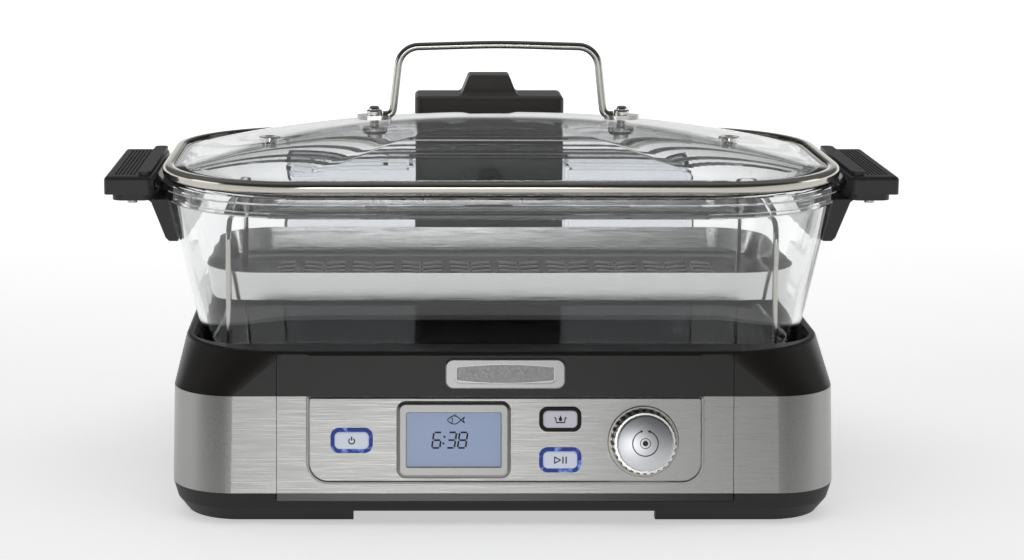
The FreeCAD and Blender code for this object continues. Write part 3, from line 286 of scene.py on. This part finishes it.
# Painted glow: the power, start and tray button faces give off light to look brighter, though nothing lights
# them from behind.
button_pale_painted_glow = glow("button_pale_painted_glow", (0.42, 0.45, 0.52), 0.62, 0.25)
button_grey_painted_glow = glow("button_grey_painted_glow", (0.4, 0.39, 0.44), 0.5, 0.25)
button_rings = lit_rings()

FINISH = {
    skirt: "bottom_housing rear_cover",
    collar: "collar collar_front",
    steel: "front_fascia left_side_panel right_side_panel",
    bezel_steel: "display_bezel",
    dark_plastic: "panel_carrier seat_liner tank_well tank_socket tower_shell encoder_sleeve tact_switches",
    rubber: "rubber_feet cord_gland",
    badge_silver: "badge_plate",
    knob_silver: "knob_face",
    silver: "encoder_body encoder_shaft boiler thermal_cutout base_screws handle_screws",
    dark_silver: "knob_ring",
    button_rings: "button_rings",
    display_blue: "display_window lcd_glass backlight_box",
    button_pale_painted_glow: "power_button start_button",
    button_grey_painted_glow: "tray_button",
    grip: "left_grip right_grip",
    bracket: "handle_brackets",
    pot_glass: "glass_pot",
    lid_glass: "lid_glass",
    rim_steel: "lid_rim",
    bright: "lid_nuts vent_grommets lid_studs lid_washers",
    wire: "lid_handle tray_bails",
    tray_steel: "steam_tray",
    tank_grip: "tank_handle",
    tank_clear: "tank_shell tank_cover",
    silicone: "steam_seal steam_nozzle steam_pipe water_tubes",
    board: "control_board power_board",
    white_plastic: "pump valve_poppet",
    knob_metal: "knob_grip",
}
for finish, names in FINISH.items():
    for name in names.split():
        mesh = nodes[name].data
        if not mesh.materials:
            mesh.materials.append(finish)
        for index in range(len(mesh.materials)):
            mesh.materials[index] = finish


# Making pieces
def add_piece(name, data, body):
    """Puts new geometry in the scene as a piece that rides on a body."""
    made = bpy.data.objects.new(name, data)
    scene.collection.objects.link(made)
    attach(made, body)
    return made


def baked(shape):
    """The mesh of an object as it stands, with its modifiers."""
    bpy.context.view_layer.update()
    return bpy.data.meshes.new_from_object(shape.evaluated_get(bpy.context.evaluated_depsgraph_get()))


def smooth_mesh(name, shape, finish):
    """Turns a bmesh into a smooth mesh with one finish."""
    mesh = bpy.data.meshes.new(name)
    shape.to_mesh(mesh)
    shape.free()
    mesh.shade_smooth()
    mesh.materials.append(finish)
    return mesh


def join(shape, first, second):
    """A band of faces between two loops of vertices."""
    for index in range(len(first)):
        following = (index + 1) % len(first)
        shape.faces.new((first[index], first[following], second[following], second[index]))


# Outlines, as lists of points in a plane
QUARTERS = ((1, 1), (-1, 1), (-1, -1), (1, -1))


def ring(x, y, radius, count=48):
    """A circle."""
    angles = [math.tau * k / count for k in range(count)]
    return [(x + radius * math.cos(a), y + radius * math.sin(a)) for a in angles]


def arc(x, y, radius, first, last, count=32):
    """Part of a circle, between two angles in degrees."""
    angles = [math.radians(first + (last - first) * k / count) for k in range(count + 1)]
    return [(x + radius * math.cos(a), y + radius * math.sin(a)) for a in angles]


def rounded_box(x, y, wide, high, corner):
    """A box with round corners, centred on a point."""
    right, upper = wide / 2 - corner, high / 2 - corner
    made = []
    for index, (u, v) in enumerate(QUARTERS):
        made += arc(x + u * right, y + v * upper, corner, 90 * index, 90 * index + 90, 8)
    return made


def ribbon(points, width):
    """A line of even width through the points."""
    left, right = [], []
    for index, (x, y) in enumerate(points):
        before, after = points[max(index - 1, 0)], points[min(index + 1, len(points) - 1)]
        dx, dy = after[0] - before[0], after[1] - before[1]
        length = math.hypot(dx, dy)
        left.append((x - dy / length * width / 2, y + dx / length * width / 2))
        right.append((x + dy / length * width / 2, y - dx / length * width / 2))
    return left + right[::-1]


# Marks on the control panel: x runs to the right, s up the panel and n outwards
TILT = math.radians(9)
BASE_DEPTH, PANEL_FOOT = 0.3, 0.0178  # metres, from the rear cover's back and from the ground
START = Vector((middle_of("rear_cover").x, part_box("rear_cover")[1].y - BASE_DEPTH, PANEL_FOOT))
MARK_HALF_THICK = 0.02
DISPLAY, DISPLAY_WIDE, DISPLAY_HIGH = (-27.8, 29.2), 51.6, 29.9
POWER_BUTTON, START_BUTTON, TRAY_BUTTON, KNOB = (-82.8, 28.8), (29.7, 18.3), (29.7, 40.1), (74.5, 28.3)
DISPLAY_TOP, BUTTON_TOP, KNOB_TOP = 1.64, 2.64, 12.64  # where the marks lie, just clear of each face


def panel_point(x, s, n):
    """A place on the tilted panel, in metres."""
    across, up = s * math.sin(TILT) - n * math.cos(TILT), s * math.cos(TILT) + n * math.sin(TILT)
    return START + Vector((x, across, up)) / 1000


def flat_piece(name, outlines, n, finish, body):
    """Closed outlines filled by the even-odd rule, laid at one height over the panel."""
    curve = bpy.data.curves.new(name, "CURVE")
    curve.dimensions = "2D"
    curve.fill_mode = "BOTH"
    curve.extrude = MARK_HALF_THICK
    for outline in outlines:
        spline = curve.splines.new("POLY")
        spline.points.add(len(outline) - 1)
        for point, (x, y) in zip(spline.points, outline):
            point.co = (x, y, 0, 1)
        spline.use_cyclic_u = True
    shape = bpy.data.objects.new(name + "_curve", curve)
    scene.collection.objects.link(shape)
    mesh = baked(shape)
    bpy.data.objects.remove(shape)
    for vertex in mesh.vertices:
        vertex.co = panel_point(vertex.co.x, vertex.co.y, n + vertex.co.z)
    mesh.materials.clear()
    mesh.materials.append(finish)
    add_piece(name, mesh, body)


def display_mark(name, outlines, finish=display_ink):
    flat_piece(name, outlines, DISPLAY_TOP, finish, "base")


SEGMENTS = {
    "a": ((0.1, 2), (0.9, 2)),
    "b": ((1, 1.9), (1, 1.1)),
    "c": ((1, 0.9), (1, 0.1)),
    "d": ((0.9, 0), (0.1, 0)),
    "e": ((0, 0.1), (0, 0.9)),
    "f": ((0, 1.1), (0, 1.9)),
    "g": ((0.1, 1), (0.9, 1)),
}
DIGITS = {"6": "acdefg", "3": "abcdg", "8": "abcdefg"}
DIGIT_WIDE, DIGIT_HIGH, DIGIT_STROKE, DIGIT_SLANT = 4.3, 8.4, 0.95, 0.14


def digit(mark, x, y):
    """Seven-segment strokes leaning to the right."""
    made = []
    for name in DIGITS[mark]:
        ends = [(x + u * DIGIT_WIDE + v * DIGIT_HIGH / 2 * DIGIT_SLANT, y + v * DIGIT_HIGH / 2)
                for u, v in SEGMENTS[name]]
        made.append(ribbon(ends, DIGIT_STROKE))
    return made


def display_digits():
    """Plain digits with a colon between them."""
    x, y = -39.6, 24.8
    strokes = []
    for mark, offset in (("6", 0), ("3", 7.9), ("8", 13.9)):
        strokes += digit(mark, x + offset, y)
    strokes += [ring(x + u, y + v, 0.6, 12) for u, v in ((6.3, 2.4), (6.8, 6.0))]
    for index, stroke in enumerate(strokes):
        display_mark(f"display_stroke_{index}", [stroke])


def display_fish():
    """A plain fish: back, belly, tail, gill, eye and fin."""
    x, y, long, half = -31.2, 39.9, 7.2, 2.2
    thick, thin = 0.5, 0.4
    steps = [k / 16 for k in range(17)]
    upper = [(x + long * u, y + half * math.sin(math.pi * u) ** 0.8) for u in steps]
    upper.append((x + long + 2.1, y - 1.7))
    lower = [(a, 2 * y - b) for a, b in upper]
    tail = [upper[-1], (x + long + 1.3, y), lower[-1]]
    gill = arc(x + 0.2, y, 2.6, -38, 38, 10)
    eye = ring(x + 1.7, y + 0.5, 0.3, 10)
    fin = [(x + 3.2, y + half), (x + 4.4, y + half + 0.9), (x + 5.0, y + half - 0.4)]
    marks = [ribbon(line, thick) for line in (upper, lower, tail)]
    marks += [ribbon(gill, thin), eye, ribbon(fin, thin)]
    for index, mark in enumerate(marks):
        display_mark(f"display_fish_{index}", [mark])


def display_shade_line():
    """Painted shade: a dark blue line round the display's window, standing in for the shaded inner edge of
    the bezel.
    """
    edge, outer_corner, inner_corner = 1.1, 1.2, 0.7
    outlines = [rounded_box(*DISPLAY, DISPLAY_WIDE, DISPLAY_HIGH, outer_corner),
                rounded_box(*DISPLAY, DISPLAY_WIDE - edge, DISPLAY_HIGH - edge, inner_corner)]
    display_mark("display_shade_line", outlines, shade_line_blue)


def button_marks():
    """Generic marks: power, start or pause, and a drop over a dish."""
    x, y = POWER_BUTTON
    power = {"ring": ribbon(arc(x, y - 0.2, 1.55, 125, 415), 0.65),
             "bar": ribbon([(x, y + 0.1), (x, y + 2.2)], 0.7)}
    x, y = START_BUTTON
    half = 1.9
    start = {"arrow_back": ribbon([(x - 3.1, y - half), (x - 3.1, y + half)], 0.6)}
    for name, rise in (("upper", 1.75), ("lower", -1.75)):
        start[f"arrow_{name}"] = ribbon([(x - 3.2, y + rise), (x + 0.1, y)], 0.6)
    for name, offset in (("left", 1.4), ("right", 3.1)):
        start[f"bar_{name}"] = ribbon([(x + offset, y - half), (x + offset, y + half)], 0.7)
    x, y = TRAY_BUTTON
    left = [(-3.4, 1.1), (-2.6, 1.1), (-2.2, -1.5)]
    dish = [(x + u, y + v) for u, v in left] + [(x - u, y + v) for u, v in left[::-1]]
    drop = [(x, y + 2.4)] + arc(x, y + 0.2, 0.95, -200, 20, 16)
    tray = {"dish": ribbon(dish, 0.75), "drop": drop}
    for button, marks in (("power", power), ("start", start), ("tray", tray)):
        for name, outline in marks.items():
            flat_piece(f"{button}_mark_{name}", [outline], BUTTON_TOP, icon_ink,
                       f"{button}_button")


def knob_mark(name, outlines):
    flat_piece(f"knob_mark_{name}", outlines, KNOB_TOP, knob_ink, "knob")


def knob_marks():
    """Arrows both ways round a ringed dot: turn and push."""
    x, y = KNOB
    reach, head_long, head_half = 6.8, 1.5, 0.9
    for name, turn, first, last in (("left", 1, 112, 270.5), ("right", -1, 68, -90.5)):
        knob_mark(name, [ribbon(arc(x, y, reach, first, last), 0.6)])
        angle = math.radians(first)
        tip_x, tip_y = x + reach * math.cos(angle), y + reach * math.sin(angle)
        ahead_x, ahead_y = turn * math.sin(angle), -turn * math.cos(angle)
        knob_mark(f"{name}_head", [[
            (tip_x + ahead_x * head_long, tip_y + ahead_y * head_long),
            (tip_x - ahead_y * head_half, tip_y + ahead_x * head_half),
            (tip_x + ahead_y * head_half, tip_y - ahead_x * head_half),
        ]])
    knob_mark("dot", [ring(x, y, 1.5)])
    knob_mark("ring", [ring(x, y, 2.9), ring(x, y, 2.5)])


display_digits()
display_fish()
display_shade_line()
button_marks()
knob_marks()


# Smooth pot and lid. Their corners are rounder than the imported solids'.
MIDDLE = middle_of("lid_rim") * 1000
CORNER_STEPS, SIDE_STEPS = 18, 16

POT_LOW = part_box("glass_pot")[0].z * 1000
RIM_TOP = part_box("glass_pot")[1].z * 1000
POT_HALF = Vector((166.4, 94.7))  # at the pot's foot
POT_LEAN = 13.85  # degrees
POT_SLOPE = math.tan(math.radians(POT_LEAN))
POT_WALL = 4.5
LOW_CORNER, RIM_CORNER = 44, 88
BEND_TURN, BEND_STEPS = 76.15, 6  # the floor's bend turns to the leaning wall, in degrees
# The rim's outside, from the wall up: height from the rim's top, and how far it stands out
RIM_STEPS = (
    (-12.6, 0.7), (-12.6, 1.7), (-12.1, 2.4), (-10.7, 2.4), (-10.2, 3.1), (-10.0, 5.0), (-9.4, 5.7),
    (-5.6, 5.7), (-5.0, 6.3), (-4.8, 6.9), (-4.2, 7.4), (-1.6, 7.4), (-0.8, 7.0), (0, 5.8),
)
PORT_RADIUS, DRILL_LENGTH = 0.008, 0.03  # metres

LID_HALF = ((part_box("lid_rim")[1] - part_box("lid_rim")[0]) / 2 * 1000).xy
LID_CORNER, LID_THICK = 80, 4.0
LID_TOP_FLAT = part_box("lid_glass")[0].z * 1000 + LID_THICK  # the glass's edge, where the rim grips it
DOME_RISE, DOME_FALL, OVAL_FADE = 22.4, 2.2, 1.5
DOME_SHARES = [0.02] + [k / 40 for k in range(2, 40)] + [1]


def box_level(half, inset, corner, z):
    """A level box with round corners, evenly stepped along its sides, centred over the pot."""
    right, upper, radius = half[0] - corner, half[1] - corner, corner - inset
    corners = []
    for index, (u, v) in enumerate(QUARTERS):
        bend = arc(u * right, v * upper, radius, 90 * index, 90 * index + 90, CORNER_STEPS)
        corners.append([Vector((x, y, z)) for x, y in bend])
    points = []
    for here, following in zip(corners, corners[1:] + corners[:1]):
        points += here
        points += [here[-1].lerp(following[0], k / SIDE_STEPS) for k in range(1, SIDE_STEPS)]
    return [point + Vector((MIDDLE.x, MIDDLE.y, 0)) for point in points]


def skin(name, levels, finish, body, closed=False, smooth=35):
    """A surface through level outlines. A closed one joins its last level to its first, others are capped."""
    shape = bmesh.new()
    rows = [[shape.verts.new(point / 1000) for point in level] for level in levels]
    for lower, upper in zip(rows, rows[1:]):
        join(shape, lower, upper)
    if closed:
        join(shape, rows[-1], rows[0])
    else:
        shape.faces.new(rows[0][::-1])
        shape.faces.new(rows[-1])
    bmesh.ops.recalc_face_normals(shape, faces=shape.faces)
    mesh = smooth_mesh(name, shape, finish)
    mesh.set_sharp_from_angle(angle=math.radians(smooth))
    return add_piece(name, mesh, body)


def pot_level(z, inward=0.0):
    """The pot's wall at a height: it leans out, and its corners get rounder towards the rim."""
    lean = (z - POT_LOW) * POT_SLOPE
    corner = LOW_CORNER + (RIM_CORNER - LOW_CORNER) * min(1, (z - POT_LOW) / (RIM_TOP - POT_LOW))
    return box_level(POT_HALF + Vector((lean, lean)), inward, corner, z)


def pot_bend(bottom, bend, reach):
    """Levels round the bend from a floor up into the wall."""
    levels = []
    for k in range(BEND_STEPS + 1):
        turn = math.radians(BEND_TURN * k / BEND_STEPS)
        z = bottom + bend * (1 - math.cos(turn))
        levels.append(pot_level(z, (z - bottom) * POT_SLOPE + reach - bend * math.sin(turn)))
    return levels


def cut_port(pot):
    """The steam port through the pot's rear wall, square to the glass."""
    shape = bmesh.new()
    bmesh.ops.create_cone(shape, cap_ends=True, segments=48, radius1=PORT_RADIUS, radius2=PORT_RADIUS,
                          depth=DRILL_LENGTH)
    square = Matrix.Rotation(-math.pi / 2 - math.radians(POT_LEAN), 4, "X")
    shape.transform(Matrix.Translation(middle_of("steam_seal")) @ square)
    mesh = bpy.data.meshes.new("port_drill")
    shape.to_mesh(mesh)
    shape.free()
    drill = bpy.data.objects.new("port_drill", mesh)
    scene.collection.objects.link(drill)
    bore = pot.modifiers.new("port", "BOOLEAN")
    bore.object = drill
    bore.operation = "DIFFERENCE"
    bore.solver = "EXACT"
    bored = baked(pot)
    pot.modifiers.clear()
    pot.data = bored
    bpy.data.objects.remove(drill)


def pot_body():
    """The glass pot as one closed skin: its foot, wall and stepped rim, then down inside to the floor."""
    low_bend, inner_bend = 11.0, 7.0
    floor = POT_LOW + POT_WALL
    levels = [pot_level(POT_LOW, low_bend + 4)]
    levels += pot_bend(POT_LOW, low_bend, 8.62)
    levels += [pot_level(POT_LOW + 10.5), pot_level(RIM_TOP - 14.5), pot_level(RIM_TOP - 13.4)]
    for z, out in RIM_STEPS:
        lean = (z - RIM_STEPS[0][0]) * POT_SLOPE
        levels.append(pot_level(RIM_TOP + z, lean - out))
    for drop, inward in ((0, POT_WALL - 0.6), (0.8, POT_WALL), (2, POT_WALL)):
        levels.append(pot_level(RIM_TOP - drop, inward))
    levels.append(pot_level(floor + 9, POT_WALL))
    levels += pot_bend(floor, inner_bend, POT_WALL + 5.5)[::-1]
    levels.append(pot_level(floor, POT_WALL + inner_bend + 3))
    made = skin("pot_body", levels, pot_glass, "pot", smooth=25)
    cut_port(made)
    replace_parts(made, "glass_pot")


def pot_lugs():
    """The glass lugs that carry the grips."""
    reach, wide, deep, corner = 198, 26, 78, 6
    for name, side in (("left", -1), ("right", 1)):
        levels = []
        for z, inset in ((170, 0.8), (170.6, 0), (173.9, 0), (174.5, 0.8)):
            box = rounded_box(side * reach, MIDDLE.y, wide - 2 * inset, deep - 2 * inset, corner)
            levels.append([Vector((x, y, z)) for x, y in box])
        skin(f"pot_lug_{name}", levels, pot_glass, "pot")


def dome_level(share, inset, drop):
    """A section of the dome. It goes from the rim's round-cornered box to an ellipse at the top."""
    half = LID_HALF - Vector((inset, inset))
    blend = share ** OVAL_FADE
    z = LID_TOP_FLAT + DOME_RISE * (1 - share ** DOME_FALL) - drop
    level = []
    for point in box_level(LID_HALF, inset, LID_CORNER, 0):
        flat = Vector((point.x - MIDDLE.x, point.y - MIDDLE.y))
        turn = math.atan2(flat.y / half.y, flat.x / half.x)
        oval = Vector((half.x * math.cos(turn), half.y * math.sin(turn)))
        at = (flat * blend + oval * (1 - blend)) * share
        level.append(Vector((MIDDLE.x + at.x, MIDDLE.y + at.y, z)))
    return level


def lid_dome():
    """The lid's domed glass, with a rounded edge that sits in the rim."""
    low, top, round_off = LID_TOP_FLAT - LID_THICK, LID_TOP_FLAT, 0.7
    edge = ((4.2, low), (3.5, low + round_off), (3.5, top - round_off), (4.2, top))
    levels = [dome_level(share, 14, LID_THICK) for share in DOME_SHARES]
    levels += [box_level(LID_HALF, inset, LID_CORNER, z) for inset, z in edge]
    levels += [dome_level(share, 12.5, 0) for share in DOME_SHARES[::-1]]
    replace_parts(skin("lid_dome", levels, lid_glass, "lid", smooth=50), "lid_glass")


def lid_band():
    """The lid's steel rim: a section in inset and height, run round the lid."""
    low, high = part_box("lid_rim")[0].z * 1000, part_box("lid_rim")[1].z * 1000
    seat, groove, lip = LID_TOP_FLAT + 0.1, 3.1, 6.4
    top_round, foot_round = 2.6, 1.8
    section = [(11, low + 1.1), (groove, low + 1.1), (groove, seat), (lip, seat), (lip, high - 0.3)]
    section += [(6.0 - 3.4 * u, high - 0.05 * u) for u in (0, 0.5, 1)]
    section += [(top_round + x, high - top_round + z) for x, z in arc(0, 0, top_round, 110, 180, 7)]
    section += [(foot_round + x, low + foot_round + z) for x, z in arc(0, 0, foot_round, 180, 270, 7)]
    section.append((11, low))
    levels = [box_level(LID_HALF, inset, LID_CORNER, z) for inset, z in section]
    made = skin("lid_band", levels, rim_steel, "lid", closed=True, smooth=50)
    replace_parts(made, "lid_rim")


pot_body()
pot_lugs()
lid_dome()
lid_band()


# The tray's wires, slots and corners, the panel's bead and the badge
def tube(name, points, radius, finish, body):
    """A round wire through points in metres. Its radius is in mm."""
    curve = bpy.data.curves.new(name, "CURVE")
    curve.dimensions = "3D"
    curve.bevel_depth = radius / 1000
    curve.bevel_resolution = 5
    curve.use_fill_caps = True
    spline = curve.splines.new("POLY")
    spline.points.add(len(points) - 1)
    for knot, place in zip(spline.points, points):
        knot.co = (*place, 1)
    spline.use_smooth = True
    curve.materials.append(finish)
    return add_piece(name, curve, body)


def bails():
    """The tray's wire bails: up in front, over the tray and down behind."""
    low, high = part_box("tray_bails")[0] * 1000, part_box("tray_bails")[1] * 1000
    packed_radius, radius, bend, top = 2.0, 1.5, 11.0, 157.0
    front, back = low.y + packed_radius, high.y - packed_radius
    path = [(front, low.z)] + [(front, z) for z in range(96, 144, 12)]
    path += arc(front + bend, top - bend, bend, 180, 90, 12)
    path += arc(back - bend, top - bend, bend, 90, 0, 12)
    path += [(back, z) for z in range(140, 90, -12)] + [(back, low.z)]
    for name, x in (("left", low.x + packed_radius), ("right", high.x - packed_radius)):
        points = [(x / 1000, y / 1000, z / 1000) for y, z in path]
        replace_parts(tube(f"bail_{name}", points, radius, wire, "tray"), "tray_bails")


def tray_slot_lips():
    """A raised lip along every slot of the tray's herringbone."""
    low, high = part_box("steam_tray")[0] * 1000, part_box("steam_tray")[1] * 1000
    centre = (low + high) / 2
    columns, rows, across, along = 18, 8, 14.5, 12.5
    floor, slot_angle, slot_side = low.z + 1.2, 24, 2.2
    # Along a lip: how far from its middle, half its width and its height
    profile = ((-6.6, 0.25, 0.0), (-5.8, 0.9, 1.5), (5.8, 0.9, 1.5), (6.6, 0.25, 0.0))
    shape = bmesh.new()
    for column in range(columns):
        lean = math.radians(slot_angle if column % 2 == 0 else -slot_angle)
        run = Vector((math.cos(lean), math.sin(lean), 0))
        side = Vector((-math.sin(lean), math.cos(lean), 0))
        x = centre.x + across * (column - (columns - 1) / 2)
        for row in range(rows):
            y = centre.y + along * (row - (rows - 1) / 2)
            middle = Vector((x, y, floor)) + side * slot_side
            rings = []
            for reach, half, height in profile:
                top = height + 0.15
                section = ((-half, 0), (-half * 0.5, top), (half * 0.5, top), (half, 0))
                rings.append([shape.verts.new((middle + run * reach + side * u + Vector((0, 0, v))) / 1000)
                              for u, v in section])
            for first, second in zip(rings, rings[1:]):
                join(shape, first, second)
            shape.faces.new(rings[0])
            shape.faces.new(rings[-1][::-1])
    bmesh.ops.recalc_face_normals(shape, faces=shape.faces)
    add_piece("tray_slot_lips", smooth_mesh("tray_slot_lips", shape, slot_lip), "tray")


def tray_cove():
    """The rounded inner corner between the tray's floor and its walls."""
    low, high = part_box("steam_tray")[0] * 1000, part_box("steam_tray")[1] * 1000
    middle, half = (low + high) / 2, (high - low) / 2
    radius, corner, wall, floor = 7.0, 34, 3.1, low.z + 1.25
    shape = bmesh.new()
    rows = []
    for inset, lift in arc(radius, radius, radius, 180, 270, 8):
        wide, deep = 2 * (half.x - wall - inset), 2 * (half.y - wall - inset)
        loop = rounded_box(middle.x, middle.y, wide, deep, corner - wall - inset)
        rows.append([shape.verts.new((x / 1000, y / 1000, (floor + lift) / 1000)) for x, y in loop])
    for lower, upper in zip(rows, rows[1:]):
        join(shape, lower, upper)
    add_piece("tray_cove", smooth_mesh("tray_cove", shape, tray_steel), "tray")


def panel_bead():
    """The bead pressed into the front panel round the controls, open at the top."""
    half, low, middle, high, corner = 106.5, 6, 30, 52, 11
    path = [(-half, high), (-half, middle)]
    path += arc(-half + corner, low + corner, corner, 180, 270, 10)
    path += arc(half - corner, low + corner, corner, 270, 360, 10)
    path += [(half, middle), (half, high)]
    points = [panel_point(x, s, 1.0) for x, s in path]
    tube("panel_bead", points, 0.9, bead_steel, "base")


def badge_insert():
    """A blank barrel-shaped plate in the badge's recess, with a bright edge."""
    x, y, long, high, bulge = 0, 64.8, 53.0, 7.6, 1.5
    steps = [k / 24 for k in range(25)]
    top = [(x + long * (0.5 - u), y + high / 2 + bulge * math.sin(math.pi * u)) for u in steps]
    low = [(x + long * (u - 0.5), y - high / 2 - bulge * math.sin(math.pi * u)) for u in steps]
    field = [(x + (a - x) * 0.99, y + (b - y) * 0.93) for a, b in top + low]
    flat_piece("badge_edge", [top + low, field], 1.62, silver, "base")
    flat_piece("badge_insert", [field], 1.56, badge_grey, "base")


bails()
panel_bead()
tray_slot_lips()
tray_cove()
badge_insert()


# Studio: a pale floor, a sky that is bright at the horizon and dark overhead, and soft lights.
# The stops are a place from 0 to 1 and its grey: from the horizon up, and from behind the camera on.
SKY = ((0.0, 0.95), (0.12, 0.9), (0.18, 0.1), (1.0, 0.2))
FRONT_TO_BACK = ((0.0, 0.25), (0.35, 0.35), (0.6, 1.0), (1.0, 1.0))
FLOOR_REACH = 30


def lay_floor():
    """A pale floor that brightens towards the back."""
    mesh = bpy.data.meshes.new("floor")
    mesh.from_pydata([(FLOOR_REACH * u, FLOOR_REACH * v, 0) for u, v in ((-1, -1), (1, -1), (1, 1), (-1, 1))],
                     [], [(0, 1, 2, 3)])
    made = bpy.data.objects.new("floor", mesh)
    shader = Shader("floor_white", Base_Color=(0.9, 0.9, 0.9), Roughness=0.9)
    shader.bsdf.inputs["Emission Color"].default_value = (1, 1, 1, 1)
    split = shader.node("SeparateXYZ")
    shader.link(shader.place(), split.inputs["Vector"])
    brighter = shader.ramp(split.outputs["Y"], 0.52, 0.95, (0.2, 1.6))
    shader.link(brighter, shader.bsdf.inputs["Emission Strength"])
    mesh.materials.append(shader.material)
    scene.collection.objects.link(made)


def set_sky():
    """A bright ring above the horizon, dimmer in front, under a dark ceiling."""
    world = bpy.data.worlds.new("studio")
    scene.world = world
    world.use_nodes = True
    tree = world.node_tree
    coordinates = tree.nodes.new("ShaderNodeTexCoord")
    split = tree.nodes.new("ShaderNodeSeparateXYZ")
    tree.links.new(coordinates.outputs["Generated"], split.inputs["Vector"])
    product = tree.nodes.new("ShaderNodeMix")
    product.data_type = "RGBA"
    product.blend_type = "MULTIPLY"
    product.inputs[MIX_FACTOR].default_value = 1
    back = tree.nodes.new("ShaderNodeMapRange")
    back.inputs["From Min"].default_value = -1
    tree.links.new(split.outputs["Y"], back.inputs["Value"])
    parts = ((SKY, split.outputs["Z"], MIX_FIRST), (FRONT_TO_BACK, back.outputs["Result"], MIX_SECOND))
    for stops, source, socket in parts:
        ramp = tree.nodes.new("ShaderNodeValToRGB")
        for index, (place, grey) in enumerate(stops):
            stop = ramp.color_ramp.elements[index] if index < 2 else ramp.color_ramp.elements.new(place)
            stop.position = place
            stop.color = (grey, grey, grey, 1)
        tree.links.new(source, ramp.inputs["Fac"])
        tree.links.new(ramp.outputs["Color"], product.inputs[socket])
    tree.links.new(product.outputs[MIX_RESULT], tree.nodes["Background"].inputs["Color"])


def soft_light(name, place, aim, size, power, mirrored=True):
    """A soft box. One that isn't mirrored lights the object and leaves no reflection on it."""
    data = bpy.data.lights.new(name, "AREA")
    data.shape = "RECTANGLE"
    data.size, data.size_y = size
    data.energy = power
    made = bpy.data.objects.new(name, data)
    made.location = place
    made.rotation_euler = (Vector(aim) - Vector(place)).to_track_quat("-Z", "Y").to_euler()
    made.visible_glossy = mirrored
    made.visible_transmission = mirrored
    scene.collection.objects.link(made)


lay_floor()
set_sky()
soft_light("top_light", (0, -0.1, 1.7), (0, 0, 0), (2.0, 1.4), 10, mirrored=False)
soft_light("front_light", (-0.05, -2.8, 0.2), (0, 0, 0.1), (0.6, 0.34), 3.6)
soft_light("left_light", (-2.5, -0.3, 0.6), (0, 0, 0.1), (1.3, 0.9), 4)
soft_light("right_light", (2.5, 0.2, 0.6), (0, 0, 0.1), (0.9, 0.9), 2.5)
soft_light("back_light", (-0.5, 2.6, 0.9), (0, 0, 0.1), (1.2, 0.9), 5, mirrored=False)
scene.view_settings.view_transform = "Standard"
scene.view_settings.look = "None"
